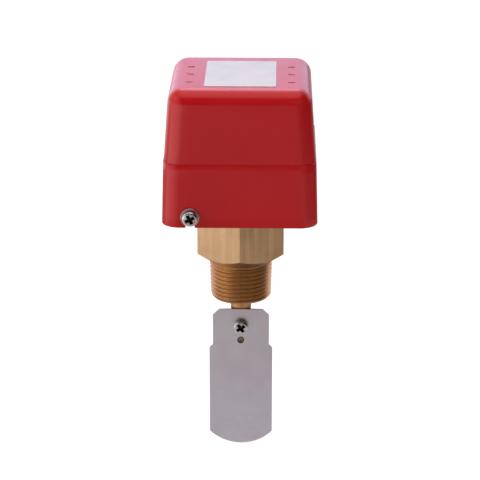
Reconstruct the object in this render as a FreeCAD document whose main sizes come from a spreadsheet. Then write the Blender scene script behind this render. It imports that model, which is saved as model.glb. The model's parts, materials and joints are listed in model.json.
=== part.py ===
import FreeCAD, Part
import math
import os
import re
import Sketcher
from FreeCAD import Placement, Rotation, Vector

# Paddle flow switch. Millimetres, +Z up. The origin is on the axis of the pipe thread, where the
# thread meets the cone of the hexagon. The cover's front, with its screw at the left, faces -Y.

SIZES = {
    # Brass body
    "thread_radius": 16.62,
    "thread_length": 21.0,
    "thread_chamfer": 2.0,
    "hex_across_flats": 46.0,
    "hex_height": 32.0,
    "cone_height": 7.0,
    "bore_radius": 12.0,
    "chamber_radius": 14.0,
    "chamber_depth": 24.0,
    # Bellows, its ring at the top and its collar on the arm
    "ring_radius": 15.9,
    "ring_thickness": 1.5,
    "ring_hole_radius": 7.8,
    "ring_clearance": 0.1,
    "bellows_inside_radius": 7.6,
    "bellows_fold": 2.2,
    "bellows_sheet": 0.4,
    "bellows_length": 12.5,
    "bellows_folds": 3,
    "collar_thickness": 2.0,
    # Joint between the brass body and the tray
    "gasket_thickness": 1.0,
    "flange_radius": 22.5,
    "flange_screw_circle_radius": 19.0,
    "opening_radius": 9.5,
    # Cover
    "cover_width": 81.0,
    "cover_depth": 84.0,
    "rim_drop": 1.5,
    "skirt_height": 33.75,
    "upper_height": 38.15,
    "skirt_draft": 1.53,
    "upper_draft": 4.0,
    "step_ledge": 0.35,
    "corner_radius": 9.0,
    "crown_radius": 8.0,
    "cover_wall": 2.5,
    "label_width": 37.0,
    "label_depth": 56.0,
    "label_thickness": 0.3,
    # Tray
    "tray_sheet": 2.0,
    "tray_lip_height": 8.0,
    "tray_clearance": 0.3,
    "tab_width": 13.0,
    "tab_height": 11.0,
    "seal_height": 2.0,
    "seal_thickness": 0.8,
    # Cover screws
    "cover_screw_offset": 25.5,
    "cover_screw_rise": 6.0,
    "cover_screw_length": 9.0,
    "slot_clearance": 0.4,
    "washer_clearance": 0.1,
    "plain_washer_radius": 4.9,
    "plain_washer_thickness": 0.9,
    "spring_washer_radius": 3.8,
    "spring_washer_thickness": 1.0,
    "washer_hole_clearance": 0.15,
    # Screws of 4 mm and 3 mm thread
    "screw_radius": 2.0,
    "head_radius": 4.0,
    "head_height": 2.6,
    "head_chamfer": 0.9,
    "small_screw_radius": 1.5,
    "small_head_radius": 2.8,
    "small_head_height": 2.0,
    "screw_hole_clearance": 0.2,
    "body_screw_depth": 9.0,
    "cut_margin": 1.0,
    # Cable entry
    "ear_width": 26.0,
    "ear_margin": 4.25,
    "cable_hole_rise": 14.0,
    "cable_hole_radius": 8.25,
    "grommet_bore_radius": 4.5,
    "grommet_flange_radius": 10.5,
    "grommet_flange_thickness": 1.8,
    "grommet_clearance": 0.8,
    # Pivot
    "pivot_rise": 15.0,
    "pin_radius": 2.5,
    "pin_clearance": 0.05,
    "pin_end": 2.2,
    "yoke_sheet": 2.0,
    "ear_gap": 12.0,
    "ear_radius": 7.0,
    "spacer_radius": 5.0,
    "side_clearance": 0.1,
    "clip_clearance": 0.3,
    "clip_thickness": 0.8,
    "clip_radius": 4.5,
    "block_width": 19.0,
    "block_depth": 16.0,
    "block_height": 14.0,
    "block_chamfer": 1.0,
    # Arm and paddle
    "arm_radius": 5.5,
    "arm_drop": 52.0,
    "arm_chamfer": 0.8,
    "flat_offset": 2.0,
    "flat_margin": 1.5,
    "stud_radius": 3.0,
    "stud_length": 8.5,
    "paddle_top_drop": 28.5,
    "paddle_sheet": 1.2,
    "paddle_length": 80.1,
    "paddle_neck_width": 30.7,
    "paddle_neck_length": 20.8,
    "paddle_width": 34.45,
    "paddle_corner_cut": 3.4,
    "paddle_foot_radius": 24.0,
    "paddle_screw_drop": 10.1,
    "paddle_washer_thickness": 0.9,
    "paddle_screw_length": 7.0,
    "pin_hole_drop": 18.1,
    "locating_pin_radius": 1.75,
    "locating_pin_recess": 0.3,
    "locating_hole_clearance": 0.15,
    # Lever
    "lever_sheet": 1.6,
    "lever_width": 14.0,
    "lever_back": 20.0,
    "lever_front_margin": 6.0,
    "lever_slot_radius": 4.2,
    "lever_corner": 2.5,
    "lever_washer_radius": 6.0,
    "lever_washer_thickness": 1.0,
    "nut_across_flats": 10.0,
    "nut_height": 4.5,
    # Range adjuster
    "adjuster_reach": 11.2,
    "adjuster_radius": 2.5,
    "adjuster_tip_rise": 4.5,
    "adjuster_head_radius": 4.5,
    "adjuster_head_height": 4.0,
    "adjuster_slot_width": 1.2,
    "adjuster_slot_depth": 1.8,
    "running_clearance": 0.1,
    "bracket_sheet": 1.8,
    "adjuster_bracket_width": 28.0,
    "adjuster_bracket_height": 43.0,
    "adjuster_bracket_gap": 1.25,
    "adjuster_foot_gap": 1.5,
    "foot_screw_room": 0.6,
    "adjuster_shelf": 18.2,
    "adjuster_screw_spread": 9.5,
    "seat_width": 12.0,
    "seat_thickness": 4.0,
    "seat_rise": 6.0,
    "seat_back": 6.0,
    "seat_clearance": 0.3,
    "spring_radius": 5.2,
    "spring_wire_radius": 0.5,
    "spring_coils": 4.0,
    # Switch
    "case_width": 49.2,
    "case_depth": 13.0,
    "case_height": 20.2,
    "lid_thickness": 4.45,
    "barrier_height": 4.0,
    "barrier_thickness": 1.6,
    "case_rounding": 1.5,
    "case_offset": 4.0,
    "plunger_offset": 17.0,
    "plunger_radius": 1.6,
    "plunger_gap": 0.2,
    "plunger_stand": 2.0,
    "plunger_depth": 6.0,
    "plunger_travel_room": 3.0,
    "mounting_spread": 25.4,
    "mounting_rise": 4.7,
    "switch_bracket_margin": 0.5,
    "switch_window_margin": 4.0,
    "switch_foot": 9.0,
    "switch_foot_width": 6.5,
    "small_nut_across_flats": 5.5,
    "small_nut_height": 2.4,
    "terminal_width": 8.0,
    "terminal_depth": 14.0,
    "terminal_thickness": 1.0,
    "terminal_screw_radius": 1.75,
    "terminal_screw_depth": 5.0,
    # Earth terminal
    "earth_side_gap": 6.0,
    "earth_front_gap": 9.0,
    "earth_clamp_width": 8.5,
    "earth_clamp_thickness": 1.2,
}

FORMULAS = {
    "hex_corner": "hex_across_flats / (2 * cos(30))",
    "ring_bottom": "hex_height - ring_thickness",
    "chamber_floor": "hex_height - chamber_depth",
    "bellows_bottom": "ring_bottom - bellows_length",
    "tray_bottom": "hex_height + gasket_thickness",
    "tray_top": "tray_bottom + tray_sheet",
    "yoke_top": "tray_top + yoke_sheet",
    "rim": "tray_bottom - rim_drop",
    "ledge": "rim + skirt_height",
    "crown": "ledge + upper_height",
    "skirt_lean": "skirt_height * tan(skirt_draft)",
    "upper_width": "cover_width - 2 * (skirt_lean + step_ledge)",
    "upper_depth": "cover_depth - 2 * (skirt_lean + step_ledge)",
    "cover_screw_height": "rim + cover_screw_rise",
    "slot_radius": "screw_radius + slot_clearance",
    "cable_height": "tray_bottom + cable_hole_rise",
    "ear_top": "cable_height + cable_hole_radius + ear_margin",
    "tray_inset": "cover_wall + (ear_top - rim) * tan(skirt_draft) + tray_clearance",
    "tray_half_width": "cover_width / 2 - tray_inset",
    "tray_half_depth": "cover_depth / 2 - tray_inset",
    "tray_corner": "corner_radius - cover_wall",
    "cover_face": "cover_depth / 2 + washer_clearance",
    "head_base": "cover_face + plain_washer_thickness + spring_washer_thickness",
    "cable_notch_radius": "grommet_flange_radius + grommet_clearance",
    "pivot": "tray_top + pivot_rise",
    "lever_seat": "pivot + block_height / 2",
    "lever_top": "lever_seat + lever_sheet",
    "paddle_top": "-paddle_top_drop",
    "paddle_screw_height": "paddle_top - paddle_screw_drop",
    "locating_pin_height": "paddle_top - pin_hole_drop",
    "paddle_face": "flat_offset + paddle_sheet",
    "adjuster_bracket_offset": "tray_half_depth - tray_sheet - adjuster_bracket_gap",
    "adjuster_offset": "adjuster_bracket_offset - adjuster_reach",
    "adjuster_foot": "adjuster_bracket_offset - flange_radius - adjuster_foot_gap",
    "adjuster_screw_line": "-adjuster_bracket_offset + bracket_sheet + small_head_radius"
                           " + foot_screw_room",
    "shelf_top": "tray_top + adjuster_bracket_height",
    "shelf_bottom": "shelf_top - bracket_sheet",
    "seat_bottom": "tray_top + seat_rise",
    "seat_top": "seat_bottom + seat_thickness",
    "spring_start": "seat_top + spring_wire_radius",
    "plunger_tip": "lever_top + plunger_gap",
    "case_bottom": "plunger_tip + plunger_stand",
    "case_top": "case_bottom + case_height",
    "case_front": "plunger_offset - (case_depth + lid_thickness) / 2",
    "lid_front": "case_front + case_depth",
    "case_back": "lid_front + lid_thickness",
    "bracket_back": "case_back + bracket_sheet",
    "mounting_height": "case_bottom + mounting_rise",
    "bay_pitch": "(case_width - barrier_thickness) / 3",
    "bracket_half_width": "case_width / 2 - switch_bracket_margin",
    "earth_across": "tray_half_width - tray_sheet - earth_side_gap",
    "earth_along": "-(tray_half_depth - tray_sheet - earth_front_gap)",
}

doc = FreeCAD.newDocument("PaddleFlowSwitch")
sheet = doc.addObject("Spreadsheet::Sheet", "Sizes")
for row, (word, number) in enumerate(SIZES.items(), start=1):
    sheet.set(f"A{row}", word)
    sheet.set(f"B{row}", str(number))
    sheet.setAlias(f"B{row}", word)
doc.recompute()

subparts = []


def full(text):
    """Write a formula out until it holds only cells of the sheet."""
    def swap(match):
        word = match.group()
        if word in FORMULAS:
            return "(" + full(FORMULAS[word]) + ")"
        if word in SIZES:
            return "Sizes." + word
        return word
    return re.sub(r"[a-z_]+", swap, text)


def number(text):
    """The value that a formula has now."""
    result = sheet.evalExpression(full(text))
    return float(getattr(result, "Value", result))


def bind(item, name, text):
    item.setExpression(name, full(text))


def subpart(item, label):
    item.Label = label
    subparts.append(item)
    return item


# Sketches and features of a body

def body(label):
    return subpart(doc.addObject("PartDesign::Body", label), label)


def sketch(part, name, plane, height="0"):
    """A sketch on one of the body's own planes, lifted along the plane's normal."""
    drawing = part.newObject("Sketcher::SketchObject", name)
    origin = next(item for item in part.Origin.OriginFeatures if item.Role == plane)
    drawing.AttachmentSupport = [(origin, "")]
    drawing.MapMode = "FlatFace"
    bind(drawing, "AttachmentOffset.Base.z", height)
    return drawing


def locate(drawing, line, end, across, along):
    """Hold a point of a sketch at its two coordinates."""
    for axis, kind, text in ((-2, "DistanceX", across), (-1, "DistanceY", along)):
        if abs(number(text)) < 1e-9:
            drawing.addConstraint(Sketcher.Constraint("PointOnObject", line, end, axis))
            continue
        index = drawing.addConstraint(Sketcher.Constraint(kind, -1, 1, line, end, number(text)))
        bind(drawing, f"Constraints[{index}]", text)


def polygon(drawing, points):
    corners = [Vector(number(across), number(along), 0) for across, along in points]
    first = drawing.GeometryCount
    count = len(corners)
    for index in range(count):
        side = Part.LineSegment(corners[index], corners[(index + 1) % count])
        drawing.addGeometry(side, False)
    for index in range(count):
        after = first + (index + 1) % count
        drawing.addConstraint(Sketcher.Constraint("Coincident", first + index, 2, after, 1))
    for index, (across, along) in enumerate(points):
        locate(drawing, first + index, 1, across, along)
    return drawing


def rectangle(drawing, left, right, low, top):
    return polygon(drawing, [(left, low), (right, low), (right, top), (left, top)])


def circle(drawing, across, along, radius):
    centre = Vector(number(across), number(along), 0)
    line = drawing.addGeometry(Part.Circle(centre, Vector(0, 0, 1), number(radius)), False)
    locate(drawing, line, 3, across, along)
    index = drawing.addConstraint(Sketcher.Constraint("Radius", line, number(radius)))
    bind(drawing, f"Constraints[{index}]", radius)
    return drawing


def extrude(part, kind, name, drawing, length, taper=None, back=False, both=False):
    """A pad or pocket; both spreads it to the two sides of the sketch."""
    feature = part.newObject("PartDesign::" + kind, name)
    feature.Profile = drawing
    bind(feature, "Length", length)
    if taper:
        bind(feature, "TaperAngle", taper)
    feature.Reversed = back
    if both:
        feature.SideType = "Symmetric"
    doc.recompute()
    return feature


def pad(part, name, drawing, length, **choices):
    return extrude(part, "Pad", name, drawing, length, **choices)


def pocket(part, name, drawing, length, **choices):
    before = part.Shape.Volume
    feature = extrude(part, "Pocket", name, drawing, length, **choices)
    if feature.Shape.Volume > before - 1e-3:
        raise RuntimeError(f"{part.Label}: {name} cuts nothing")
    return feature


def turn(part, kind, name, drawing, axis="V_Axis"):
    """A revolution or groove about an axis of its sketch."""
    before = part.Shape.Volume if kind == "Groove" else math.inf
    feature = part.newObject("PartDesign::" + kind, name)
    feature.Profile = drawing
    feature.ReferenceAxis = (drawing, [axis])
    feature.Angle = 360
    doc.recompute()
    if feature.Shape.Volume > before - 1e-3:
        raise RuntimeError(f"{part.Label}: {name} cuts nothing")
    return feature


def edges(feature, wanted):
    """Names of the edges whose box passes a test."""
    found = [f"Edge{index}" for index, edge in enumerate(feature.Shape.Edges, start=1)
             if wanted(edge.BoundBox)]
    if not found:
        raise RuntimeError(f"{feature.Label}: no edge passes the test")
    return found


def soften(part, kind, name, feature, wanted, size):
    """A fillet or chamfer on the edges that pass a test."""
    item = part.newObject("PartDesign::" + kind, name)
    item.Base = (feature, edges(feature, wanted))
    bind(item, "Radius" if kind == "Fillet" else "Size", size)
    doc.recompute()
    return item


def hollow(part, name, feature, wanted, thickness):
    """Shell a body inwards, open at the faces that pass a test."""
    item = part.newObject("PartDesign::Thickness", name)
    faces = [f"Face{index}" for index, face in enumerate(feature.Shape.Faces, start=1)
             if wanted(face.BoundBox)]
    item.Base = (feature, faces)
    bind(item, "Value", thickness)
    item.Reversed = True
    item.Join = "Intersection"
    doc.recompute()
    return item


def upright(box):
    return box.ZLength > 1.0 and box.XLength < 3.0 and box.YLength < 3.0


def level_at(text):
    height = number(text)
    return lambda box: abs(box.ZMin - height) < 1e-3 and abs(box.ZMax - height) < 1e-3


def corner_upright(box, inset):
    """True for the cover's upright edges that start at the rim's or the ledge's sharp corner."""
    stage = "cover" if box.ZMin < number("ledge") - 1 else "upper"
    across = max(abs(box.XMin), abs(box.XMax)) - number(f"{stage}_width / 2 - {inset}")
    along = max(abs(box.YMin), abs(box.YMax)) - number(f"{stage}_depth / 2 - {inset}")
    tall = box.ZLength > number("skirt_height") / 2
    return tall and abs(across) < 0.01 and abs(along) < 0.01


def square_of_four(radius):
    """Places of four screws on a circle, between the axes."""
    return [(f"{radius} * cos({angle})", f"{radius} * sin({angle})")
            for angle in (45, 135, 225, 315)]


# Plain solids

TURNS = {
    "X": Rotation(Vector(0, 1, 0), 90),
    "Y": Rotation(Vector(1, 0, 0), -90),
    "Z": Rotation(),
}


def place(item, at, along="Z"):
    item.Placement = Placement(Vector(*[number(text) for text in at]), TURNS[along])
    for axis, text in zip("xyz", at):
        bind(item, "Placement.Base." + axis, text)
    return item


def rod(name, radius, length, at, along="Z"):
    item = doc.addObject("Part::Cylinder", name)
    bind(item, "Radius", radius)
    bind(item, "Height", length)
    return place(item, at, along)


def block(name, size, at):
    item = doc.addObject("Part::Box", name)
    for side, text in zip(("Length", "Width", "Height"), size):
        bind(item, side, text)
    return place(item, at)


def hexagon(name, across_flats, length, at, along="Z"):
    item = doc.addObject("Part::Prism", name)
    item.Polygon = 6
    bind(item, "Circumradius", f"{across_flats} / (2 * cos(30))")
    bind(item, "Height", length)
    return place(item, at, along)


def cut(name, base, tool):
    item = doc.addObject("Part::Cut", name)
    item.Base = base
    item.Tool = tool
    doc.recompute()
    return item


def fuse(name, items):
    item = doc.addObject("Part::MultiFuse", name)
    item.Shapes = items
    doc.recompute()
    return item


def group(name, items):
    item = doc.addObject("Part::Compound", name)
    item.Links = items
    doc.recompute()
    return item


def ring(name, outside, inside, length, at, along="Z"):
    return cut(name, rod(name + "_disc", outside, length, at, along),
               rod(name + "_hole", inside, length, at, along))


def nut(name, across_flats, inside, length, at, along="Z"):
    return cut(name, hexagon(name + "_hex", across_flats, length, at, along),
               rod(name + "_hole", inside, length, at, along))


def moved(at, along, distance):
    """A place shifted along X, Y or Z."""
    return tuple(f"{text} + ({distance})" if axis == along else text
                 for axis, text in zip("XYZ", at))


def flat_screw(name, at, along, inwards, length, radius, head, height):
    """A flat head on its seat, with a shank that points inwards, along or against the axis."""
    shank_start = at if inwards > 0 else moved(at, along, f"-({length})")
    head_start = moved(at, along, f"-({height})") if inwards > 0 else at
    return [rod(name + "_shank", radius, length, shank_start, along),
            rod(name + "_disc", head, height, head_start, along)]


def pan_screw(name, at, along, inwards, length):
    """A larger screw whose head slopes at its rim."""
    shank, disc = flat_screw(name, at, along, inwards, length, "screw_radius", "head_radius",
                             "head_height")
    doc.recompute()
    head_piece = doc.addObject("Part::Chamfer", name + "_head")
    head_piece.Base = disc
    rims = [(index, edge.CenterOfMass) for index, edge in enumerate(disc.Shape.Edges, start=1)
            if len(edge.Vertexes) == 1]
    rank = {"X": lambda spot: spot.x, "Y": lambda spot: spot.y, "Z": lambda spot: spot.z}[along]
    outer = max(rims, key=lambda rim: -inwards * rank(rim[1]))[0]
    slope = number("head_chamfer")
    head_piece.Edges = [(outer, slope, slope)]
    doc.recompute()
    return fuse(name, [shank, head_piece])


LARGE = ("screw_radius", "head_radius", "head_height")
SMALL = ("small_screw_radius", "small_head_radius", "small_head_height")
TERMINAL = ("terminal_screw_radius", "small_head_radius", "small_head_height")


def screw_group(label, places, along, inwards, length, kind):
    """Equal screws that share one sub-part."""
    screws = []
    for index, at in enumerate(places, start=1):
        name = f"{label}_{index}"
        screws.append(fuse(name, flat_screw(name, at, along, inwards, length, *kind)))
    return subpart(group(label, screws) if len(screws) > 1 else screws[0], label)


# Brass body

def brass_body():
    part = body("brass_body")
    corners = [(f"hex_corner * cos({angle})", f"hex_corner * sin({angle})")
               for angle in range(-90, 270, 60)]
    pad(part, "Hexagon", polygon(sketch(part, "HexagonSketch", "XY_Plane"), corners), "hex_height")
    reach = "hex_corner + cut_margin"
    beyond = f"cone_height * ({reach} - thread_radius) / (hex_corner - thread_radius)"
    cone = polygon(sketch(part, "ConeSketch", "XZ_Plane"),
                   [("thread_radius", "0"), (reach, "-cut_margin"), (reach, beyond)])
    turn(part, "Groove", "Cone", cone)
    thread = pad(part, "Thread", circle(sketch(part, "ThreadSketch", "XY_Plane"), "0", "0",
                                        "thread_radius"), "thread_length", back=True)
    soften(part, "Chamfer", "ThreadEnd", thread, level_at("-thread_length"), "thread_chamfer")
    bore = polygon(sketch(part, "BoreSketch", "XZ_Plane"), [
        ("0", "-thread_length - cut_margin"),
        ("bore_radius", "-thread_length - cut_margin"),
        ("bore_radius", "chamber_floor - chamber_radius + bore_radius"),
        ("chamber_radius", "chamber_floor"),
        ("chamber_radius", "ring_bottom"),
        ("ring_radius + ring_clearance", "ring_bottom"),
        ("ring_radius + ring_clearance", "hex_height + cut_margin"),
        ("0", "hex_height + cut_margin"),
    ])
    turn(part, "Groove", "Bore", bore)
    holes = sketch(part, "ScrewHoleSketch", "XY_Plane", "hex_height")
    for across, along in square_of_four("flange_screw_circle_radius"):
        circle(holes, across, along, "screw_radius")
    pocket(part, "ScrewHoles", holes, "body_screw_depth")


def flange_plate(label, bottom, thickness, hole):
    """A disc with the arm's opening and four screw holes."""
    part = body(label)
    drawing = circle(sketch(part, "DiscSketch", "XY_Plane", bottom), "0", "0", "flange_radius")
    circle(drawing, "0", "0", "opening_radius")
    for across, along in square_of_four("flange_screw_circle_radius"):
        circle(drawing, across, along, hole)
    pad(part, "Disc", drawing, thickness)
    return part


def bellows_group():
    subpart(ring("ring", "ring_radius", "ring_hole_radius", "ring_thickness",
                 ("0", "0", "ring_bottom")), "bellows_ring")
    subpart(ring("collar", "bellows_inside_radius + bellows_sheet", "arm_radius",
                 "collar_thickness", ("0", "0", "bellows_bottom - collar_thickness")),
            "bellows_collar")
    part = body("bellows")
    folds = round(number("bellows_folds"))
    pitch = f"bellows_length / {folds}"
    inner = [("bellows_inside_radius", "bellows_bottom")]
    outer = [("bellows_inside_radius + bellows_sheet", "bellows_bottom")]
    for index in range(folds):
        low = f"bellows_bottom + ({index} + 0.25) * {pitch}"
        high = f"bellows_bottom + ({index} + 0.75) * {pitch}"
        for wave, skin, turn_low, turn_high in (
                (inner, "", low, high),
                (outer, " + bellows_sheet", low + " - bellows_sheet", high + " + bellows_sheet")):
            wave.append(("bellows_inside_radius" + skin, turn_low))
            wave.append(("bellows_inside_radius + bellows_fold" + skin, turn_low))
            wave.append(("bellows_inside_radius + bellows_fold" + skin, turn_high))
            wave.append(("bellows_inside_radius" + skin, turn_high))
    inner.append(("bellows_inside_radius", "ring_bottom"))
    outer.append(("bellows_inside_radius + bellows_sheet", "ring_bottom"))
    turn(part, "Revolution", "Folds",
         polygon(sketch(part, "FoldSketch", "XZ_Plane"), inner + outer[::-1]))


# Cover

def wedge(part, kind, name, bottom, length, width, depth, draft):
    """A block with a slight draft, added to the body or taken from it."""
    item = part.newObject(f"PartDesign::{kind}Wedge", name)
    origin = next(feature for feature in part.Origin.OriginFeatures
                  if feature.Role == "XZ_Plane")
    item.AttachmentSupport = [(origin, "")]
    item.MapMode = "FlatFace"
    lean = f"({length}) * tan({draft})"
    for low, high, size in (("Xmin", "Xmax", width), ("Zmin", "Zmax", depth)):
        bind(item, low, f"-({size}) / 2")
        bind(item, high, f"({size}) / 2")
    for low, high, size in (("X2min", "X2max", width), ("Z2min", "Z2max", depth)):
        bind(item, low, f"-({size}) / 2 + {lean}")
        bind(item, high, f"({size}) / 2 - {lean}")
    bind(item, "Ymin", bottom)
    bind(item, "Ymax", f"{bottom} + {length}")
    doc.recompute()
    return item


def cover():
    part = body("cover")
    wedge(part, "Additive", "Skirt", "rim", "skirt_height", "cover_width", "cover_depth",
          "skirt_draft")
    wedge(part, "Additive", "Upper", "ledge", "upper_height", "upper_width", "upper_depth",
          "upper_draft")
    wedge(part, "Subtractive", "SkirtCavity", "rim", "skirt_height",
          "cover_width - 2 * cover_wall", "cover_depth - 2 * cover_wall", "skirt_draft")
    stage = wedge(part, "Subtractive", "UpperCavity", "ledge", "upper_height - cover_wall",
                  "upper_width - 2 * cover_wall", "upper_depth - 2 * cover_wall", "upper_draft")
    stage = soften(part, "Fillet", "InnerCorners", stage,
                   lambda box: corner_upright(box, "cover_wall"), "corner_radius - cover_wall")
    stage = soften(part, "Fillet", "InnerCrown", stage, level_at("crown - cover_wall"),
                   "crown_radius - cover_wall")
    stage = soften(part, "Fillet", "Corners", stage, lambda box: corner_upright(box, "0"),
                   "corner_radius")
    soften(part, "Fillet", "Crown", stage, level_at("crown"), "crown_radius")
    cut_length = "4 * cover_wall"
    for side, name in ((1, "Front"), (-1, "Back")):
        start = f"{side} * (cover_depth / 2 - 2 * cover_wall)"
        across = f"{-side} * cover_screw_offset"
        slot = rectangle(sketch(part, name + "SlotSketch", "XZ_Plane", start),
                         across + " - slot_radius", across + " + slot_radius",
                         "rim - cut_margin", "cover_screw_height")
        pocket(part, name + "Slot", slot, cut_length, back=side > 0)
        end = circle(sketch(part, name + "EndSketch", "XZ_Plane", start), across,
                     "cover_screw_height", "slot_radius")
        pocket(part, name + "SlotEnd", end, cut_length, back=side > 0)
    start = "-(cover_depth / 2 - 2 * cover_wall)"
    notch = rectangle(sketch(part, "CableNotchSketch", "XZ_Plane", start), "-cable_notch_radius",
                      "cable_notch_radius", "rim - cut_margin", "cable_height")
    pocket(part, "CableNotch", notch, cut_length)
    arch = circle(sketch(part, "CableArchSketch", "XZ_Plane", start), "0", "cable_height",
                  "cable_notch_radius")
    pocket(part, "CableArch", arch, cut_length)


def cover_fittings():
    subpart(block("label", ("label_width", "label_depth", "label_thickness"),
                  ("-label_width / 2", "-label_depth / 2", "crown")), "label_plate")
    plain, spring = [], []
    screws = []
    for side, name in ((-1, "front"), (1, "back")):
        across = f"{side} * cover_screw_offset"
        washer = f"{side} * cover_face"
        if side < 0:
            washer += " - plain_washer_thickness"
        second = f"{side} * (cover_face + plain_washer_thickness)"
        if side < 0:
            second += " - spring_washer_thickness"
        plain.append(ring(name + "_plain", "plain_washer_radius", "screw_radius + washer_hole_clearance",
                          "plain_washer_thickness", (across, washer, "cover_screw_height"), "Y"))
        spring.append(ring(name + "_spring", "spring_washer_radius", "screw_radius + washer_hole_clearance",
                           "spring_washer_thickness", (across, second, "cover_screw_height"),
                           "Y"))
        seat = (across, f"{side} * head_base", "cover_screw_height")
        screws.append(pan_screw(name + "_screw", seat, "Y", -side, "cover_screw_length"))
    subpart(group("plain_washers", plain), "cover_plain_washers")
    subpart(group("spring_washers", spring), "cover_spring_washers")
    subpart(group("screws", screws), "cover_screws")


# Tray

def base_tray():
    part = body("base_tray")
    outline = rectangle(sketch(part, "TraySketch", "XY_Plane", "tray_bottom"),
                        "-tray_half_width", "tray_half_width", "-tray_half_depth",
                        "tray_half_depth")
    solid = pad(part, "Tray", outline, "tray_lip_height")
    rounded = soften(part, "Fillet", "Corners", solid, upright, "tray_corner")
    hollow(part, "Lip", rounded, level_at("tray_bottom + tray_lip_height"), "tray_sheet")
    for side, name in ((1, "Front"), (-1, "Back")):
        face = f"{side} * tray_half_depth"
        across = f"{-side} * cover_screw_offset"
        outer = f"{-side} * (tray_half_width - tray_corner)"
        tab = rectangle(sketch(part, name + "TabSketch", "XZ_Plane", face), outer,
                        outer + f" + {side} * tab_width", "tray_bottom",
                        "tray_bottom + tab_height")
        pad(part, name + "Tab", tab, "tray_sheet", back=side > 0)
        hole = circle(sketch(part, name + "HoleSketch", "XZ_Plane", face), across,
                      "cover_screw_height", "screw_radius")
        pocket(part, name + "Hole", hole, "tray_sheet + cut_margin", back=side < 0)
    ear = rectangle(sketch(part, "EarSketch", "XZ_Plane", "-tray_half_depth"), "-ear_width / 2",
                    "ear_width / 2", "tray_bottom", "ear_top")
    eared = pad(part, "Ear", ear, "tray_sheet")
    high = number("ear_top") - 0.01
    soften(part, "Fillet", "EarCorners", eared,
           lambda box: box.ZMin > high and box.XLength < 0.01, "ear_margin")
    cable = circle(sketch(part, "CableSketch", "XZ_Plane", "-tray_half_depth"), "0",
                   "cable_height", "cable_hole_radius")
    pocket(part, "CableHole", cable, "tray_sheet + cut_margin", back=True)
    holes = circle(sketch(part, "FloorHoleSketch", "XY_Plane", "tray_bottom"), "0", "0",
                   "opening_radius")
    for across, along in square_of_four("flange_screw_circle_radius"):
        circle(holes, across, along, "screw_radius + screw_hole_clearance")
    for across, along in adjuster_feet() + switch_feet():
        circle(holes, across, along, "small_screw_radius")
    circle(holes, "earth_across", "earth_along", "screw_radius")
    pocket(part, "FloorHoles", holes, "tray_sheet", back=True)


def cover_seal():
    part = body("cover_seal")
    outline = rectangle(sketch(part, "SealSketch", "XY_Plane", "tray_bottom"),
                        "-tray_half_width - seal_thickness", "tray_half_width + seal_thickness",
                        "-tray_half_depth - seal_thickness", "tray_half_depth + seal_thickness")
    solid = pad(part, "Band", outline, "seal_height")
    rounded = soften(part, "Fillet", "Corners", solid, upright, "tray_corner + seal_thickness")
    both = lambda box: box.ZLength < 1e-3
    hollow(part, "Inside", rounded, both, "seal_thickness")


def cable_grommet():
    part = body("cable_grommet")
    drawing = sketch(part, "GrommetSketch", "YZ_Plane")
    bind(drawing, "AttachmentOffset.Base.y", "cable_height")
    inner = "tray_half_depth - tray_sheet"
    polygon(drawing, [
        (inner + " - grommet_flange_thickness", "grommet_bore_radius"),
        ("tray_half_depth + grommet_flange_thickness", "grommet_bore_radius"),
        ("tray_half_depth + grommet_flange_thickness", "grommet_flange_radius"),
        ("tray_half_depth", "grommet_flange_radius"),
        ("tray_half_depth", "cable_hole_radius"),
        (inner, "cable_hole_radius"),
        (inner, "grommet_flange_radius"),
        (inner + " - grommet_flange_thickness", "grommet_flange_radius"),
    ])
    turn(part, "Revolution", "Grommet", drawing, "H_Axis")


# Pivot, arm and paddle

def pivot_yoke():
    part = flange_plate("pivot_yoke", "tray_top", "yoke_sheet",
                        "screw_radius + screw_hole_clearance")
    for side, name in ((1, "Right"), (-1, "Left")):
        inner = f"{side} * ear_gap"
        ear = rectangle(sketch(part, name + "EarSketch", "YZ_Plane", inner), "-ear_radius",
                        "ear_radius", "tray_top", "pivot")
        pad(part, name + "Ear", ear, "yoke_sheet", back=side < 0)
        top = circle(sketch(part, name + "TopSketch", "YZ_Plane", inner), "0", "pivot",
                     "ear_radius")
        pad(part, name + "Top", top, "yoke_sheet", back=side < 0)
    hole = circle(sketch(part, "PinHoleSketch", "YZ_Plane"), "0", "pivot",
                  "pin_radius + pin_clearance")
    pocket(part, "PinHole", hole, "4 * ear_gap", both=True)


def pivot_fittings():
    reach = "ear_gap + yoke_sheet + clip_clearance + clip_thickness + pin_end"
    subpart(rod("pivot_pin", "pin_radius", f"2 * ({reach})", (f"-({reach})", "0", "pivot"), "X"),
            "pivot_pin")
    width = "ear_gap - block_width / 2 - side_clearance"
    clip = "ear_gap + yoke_sheet + clip_clearance"
    spacers = []
    clips = []
    for name, start, clip_start in (("left", f"-block_width / 2 - ({width})",
                                     f"-({clip}) - clip_thickness"),
                                    ("right", "block_width / 2", clip)):
        spacers.append(ring(name + "_spacer", "spacer_radius", "pin_radius", width,
                            (start, "0", "pivot"), "X"))
        clips.append(ring(name + "_clip", "clip_radius", "pin_radius", "clip_thickness",
                          (clip_start, "0", "pivot"), "X"))
    subpart(group("spacers", spacers), "pivot_spacers")
    subpart(group("clips", clips), "pivot_clips")


def lever_block():
    part = body("lever_block")
    outline = rectangle(sketch(part, "BlockSketch", "XY_Plane", "pivot - block_height / 2"),
                        "-block_width / 2", "block_width / 2", "-block_depth / 2",
                        "block_depth / 2")
    solid = pad(part, "Block", outline, "block_height")
    soften(part, "Chamfer", "Corners", solid, upright, "block_chamfer")
    hole = circle(sketch(part, "ArmHoleSketch", "XY_Plane", "pivot"), "0", "0", "arm_radius")
    pocket(part, "ArmHole", hole, "2 * block_height", both=True)
    cross = circle(sketch(part, "PinHoleSketch", "YZ_Plane"), "0", "pivot", "pin_radius")
    pocket(part, "PinHole", cross, "2 * block_width", both=True)


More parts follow.
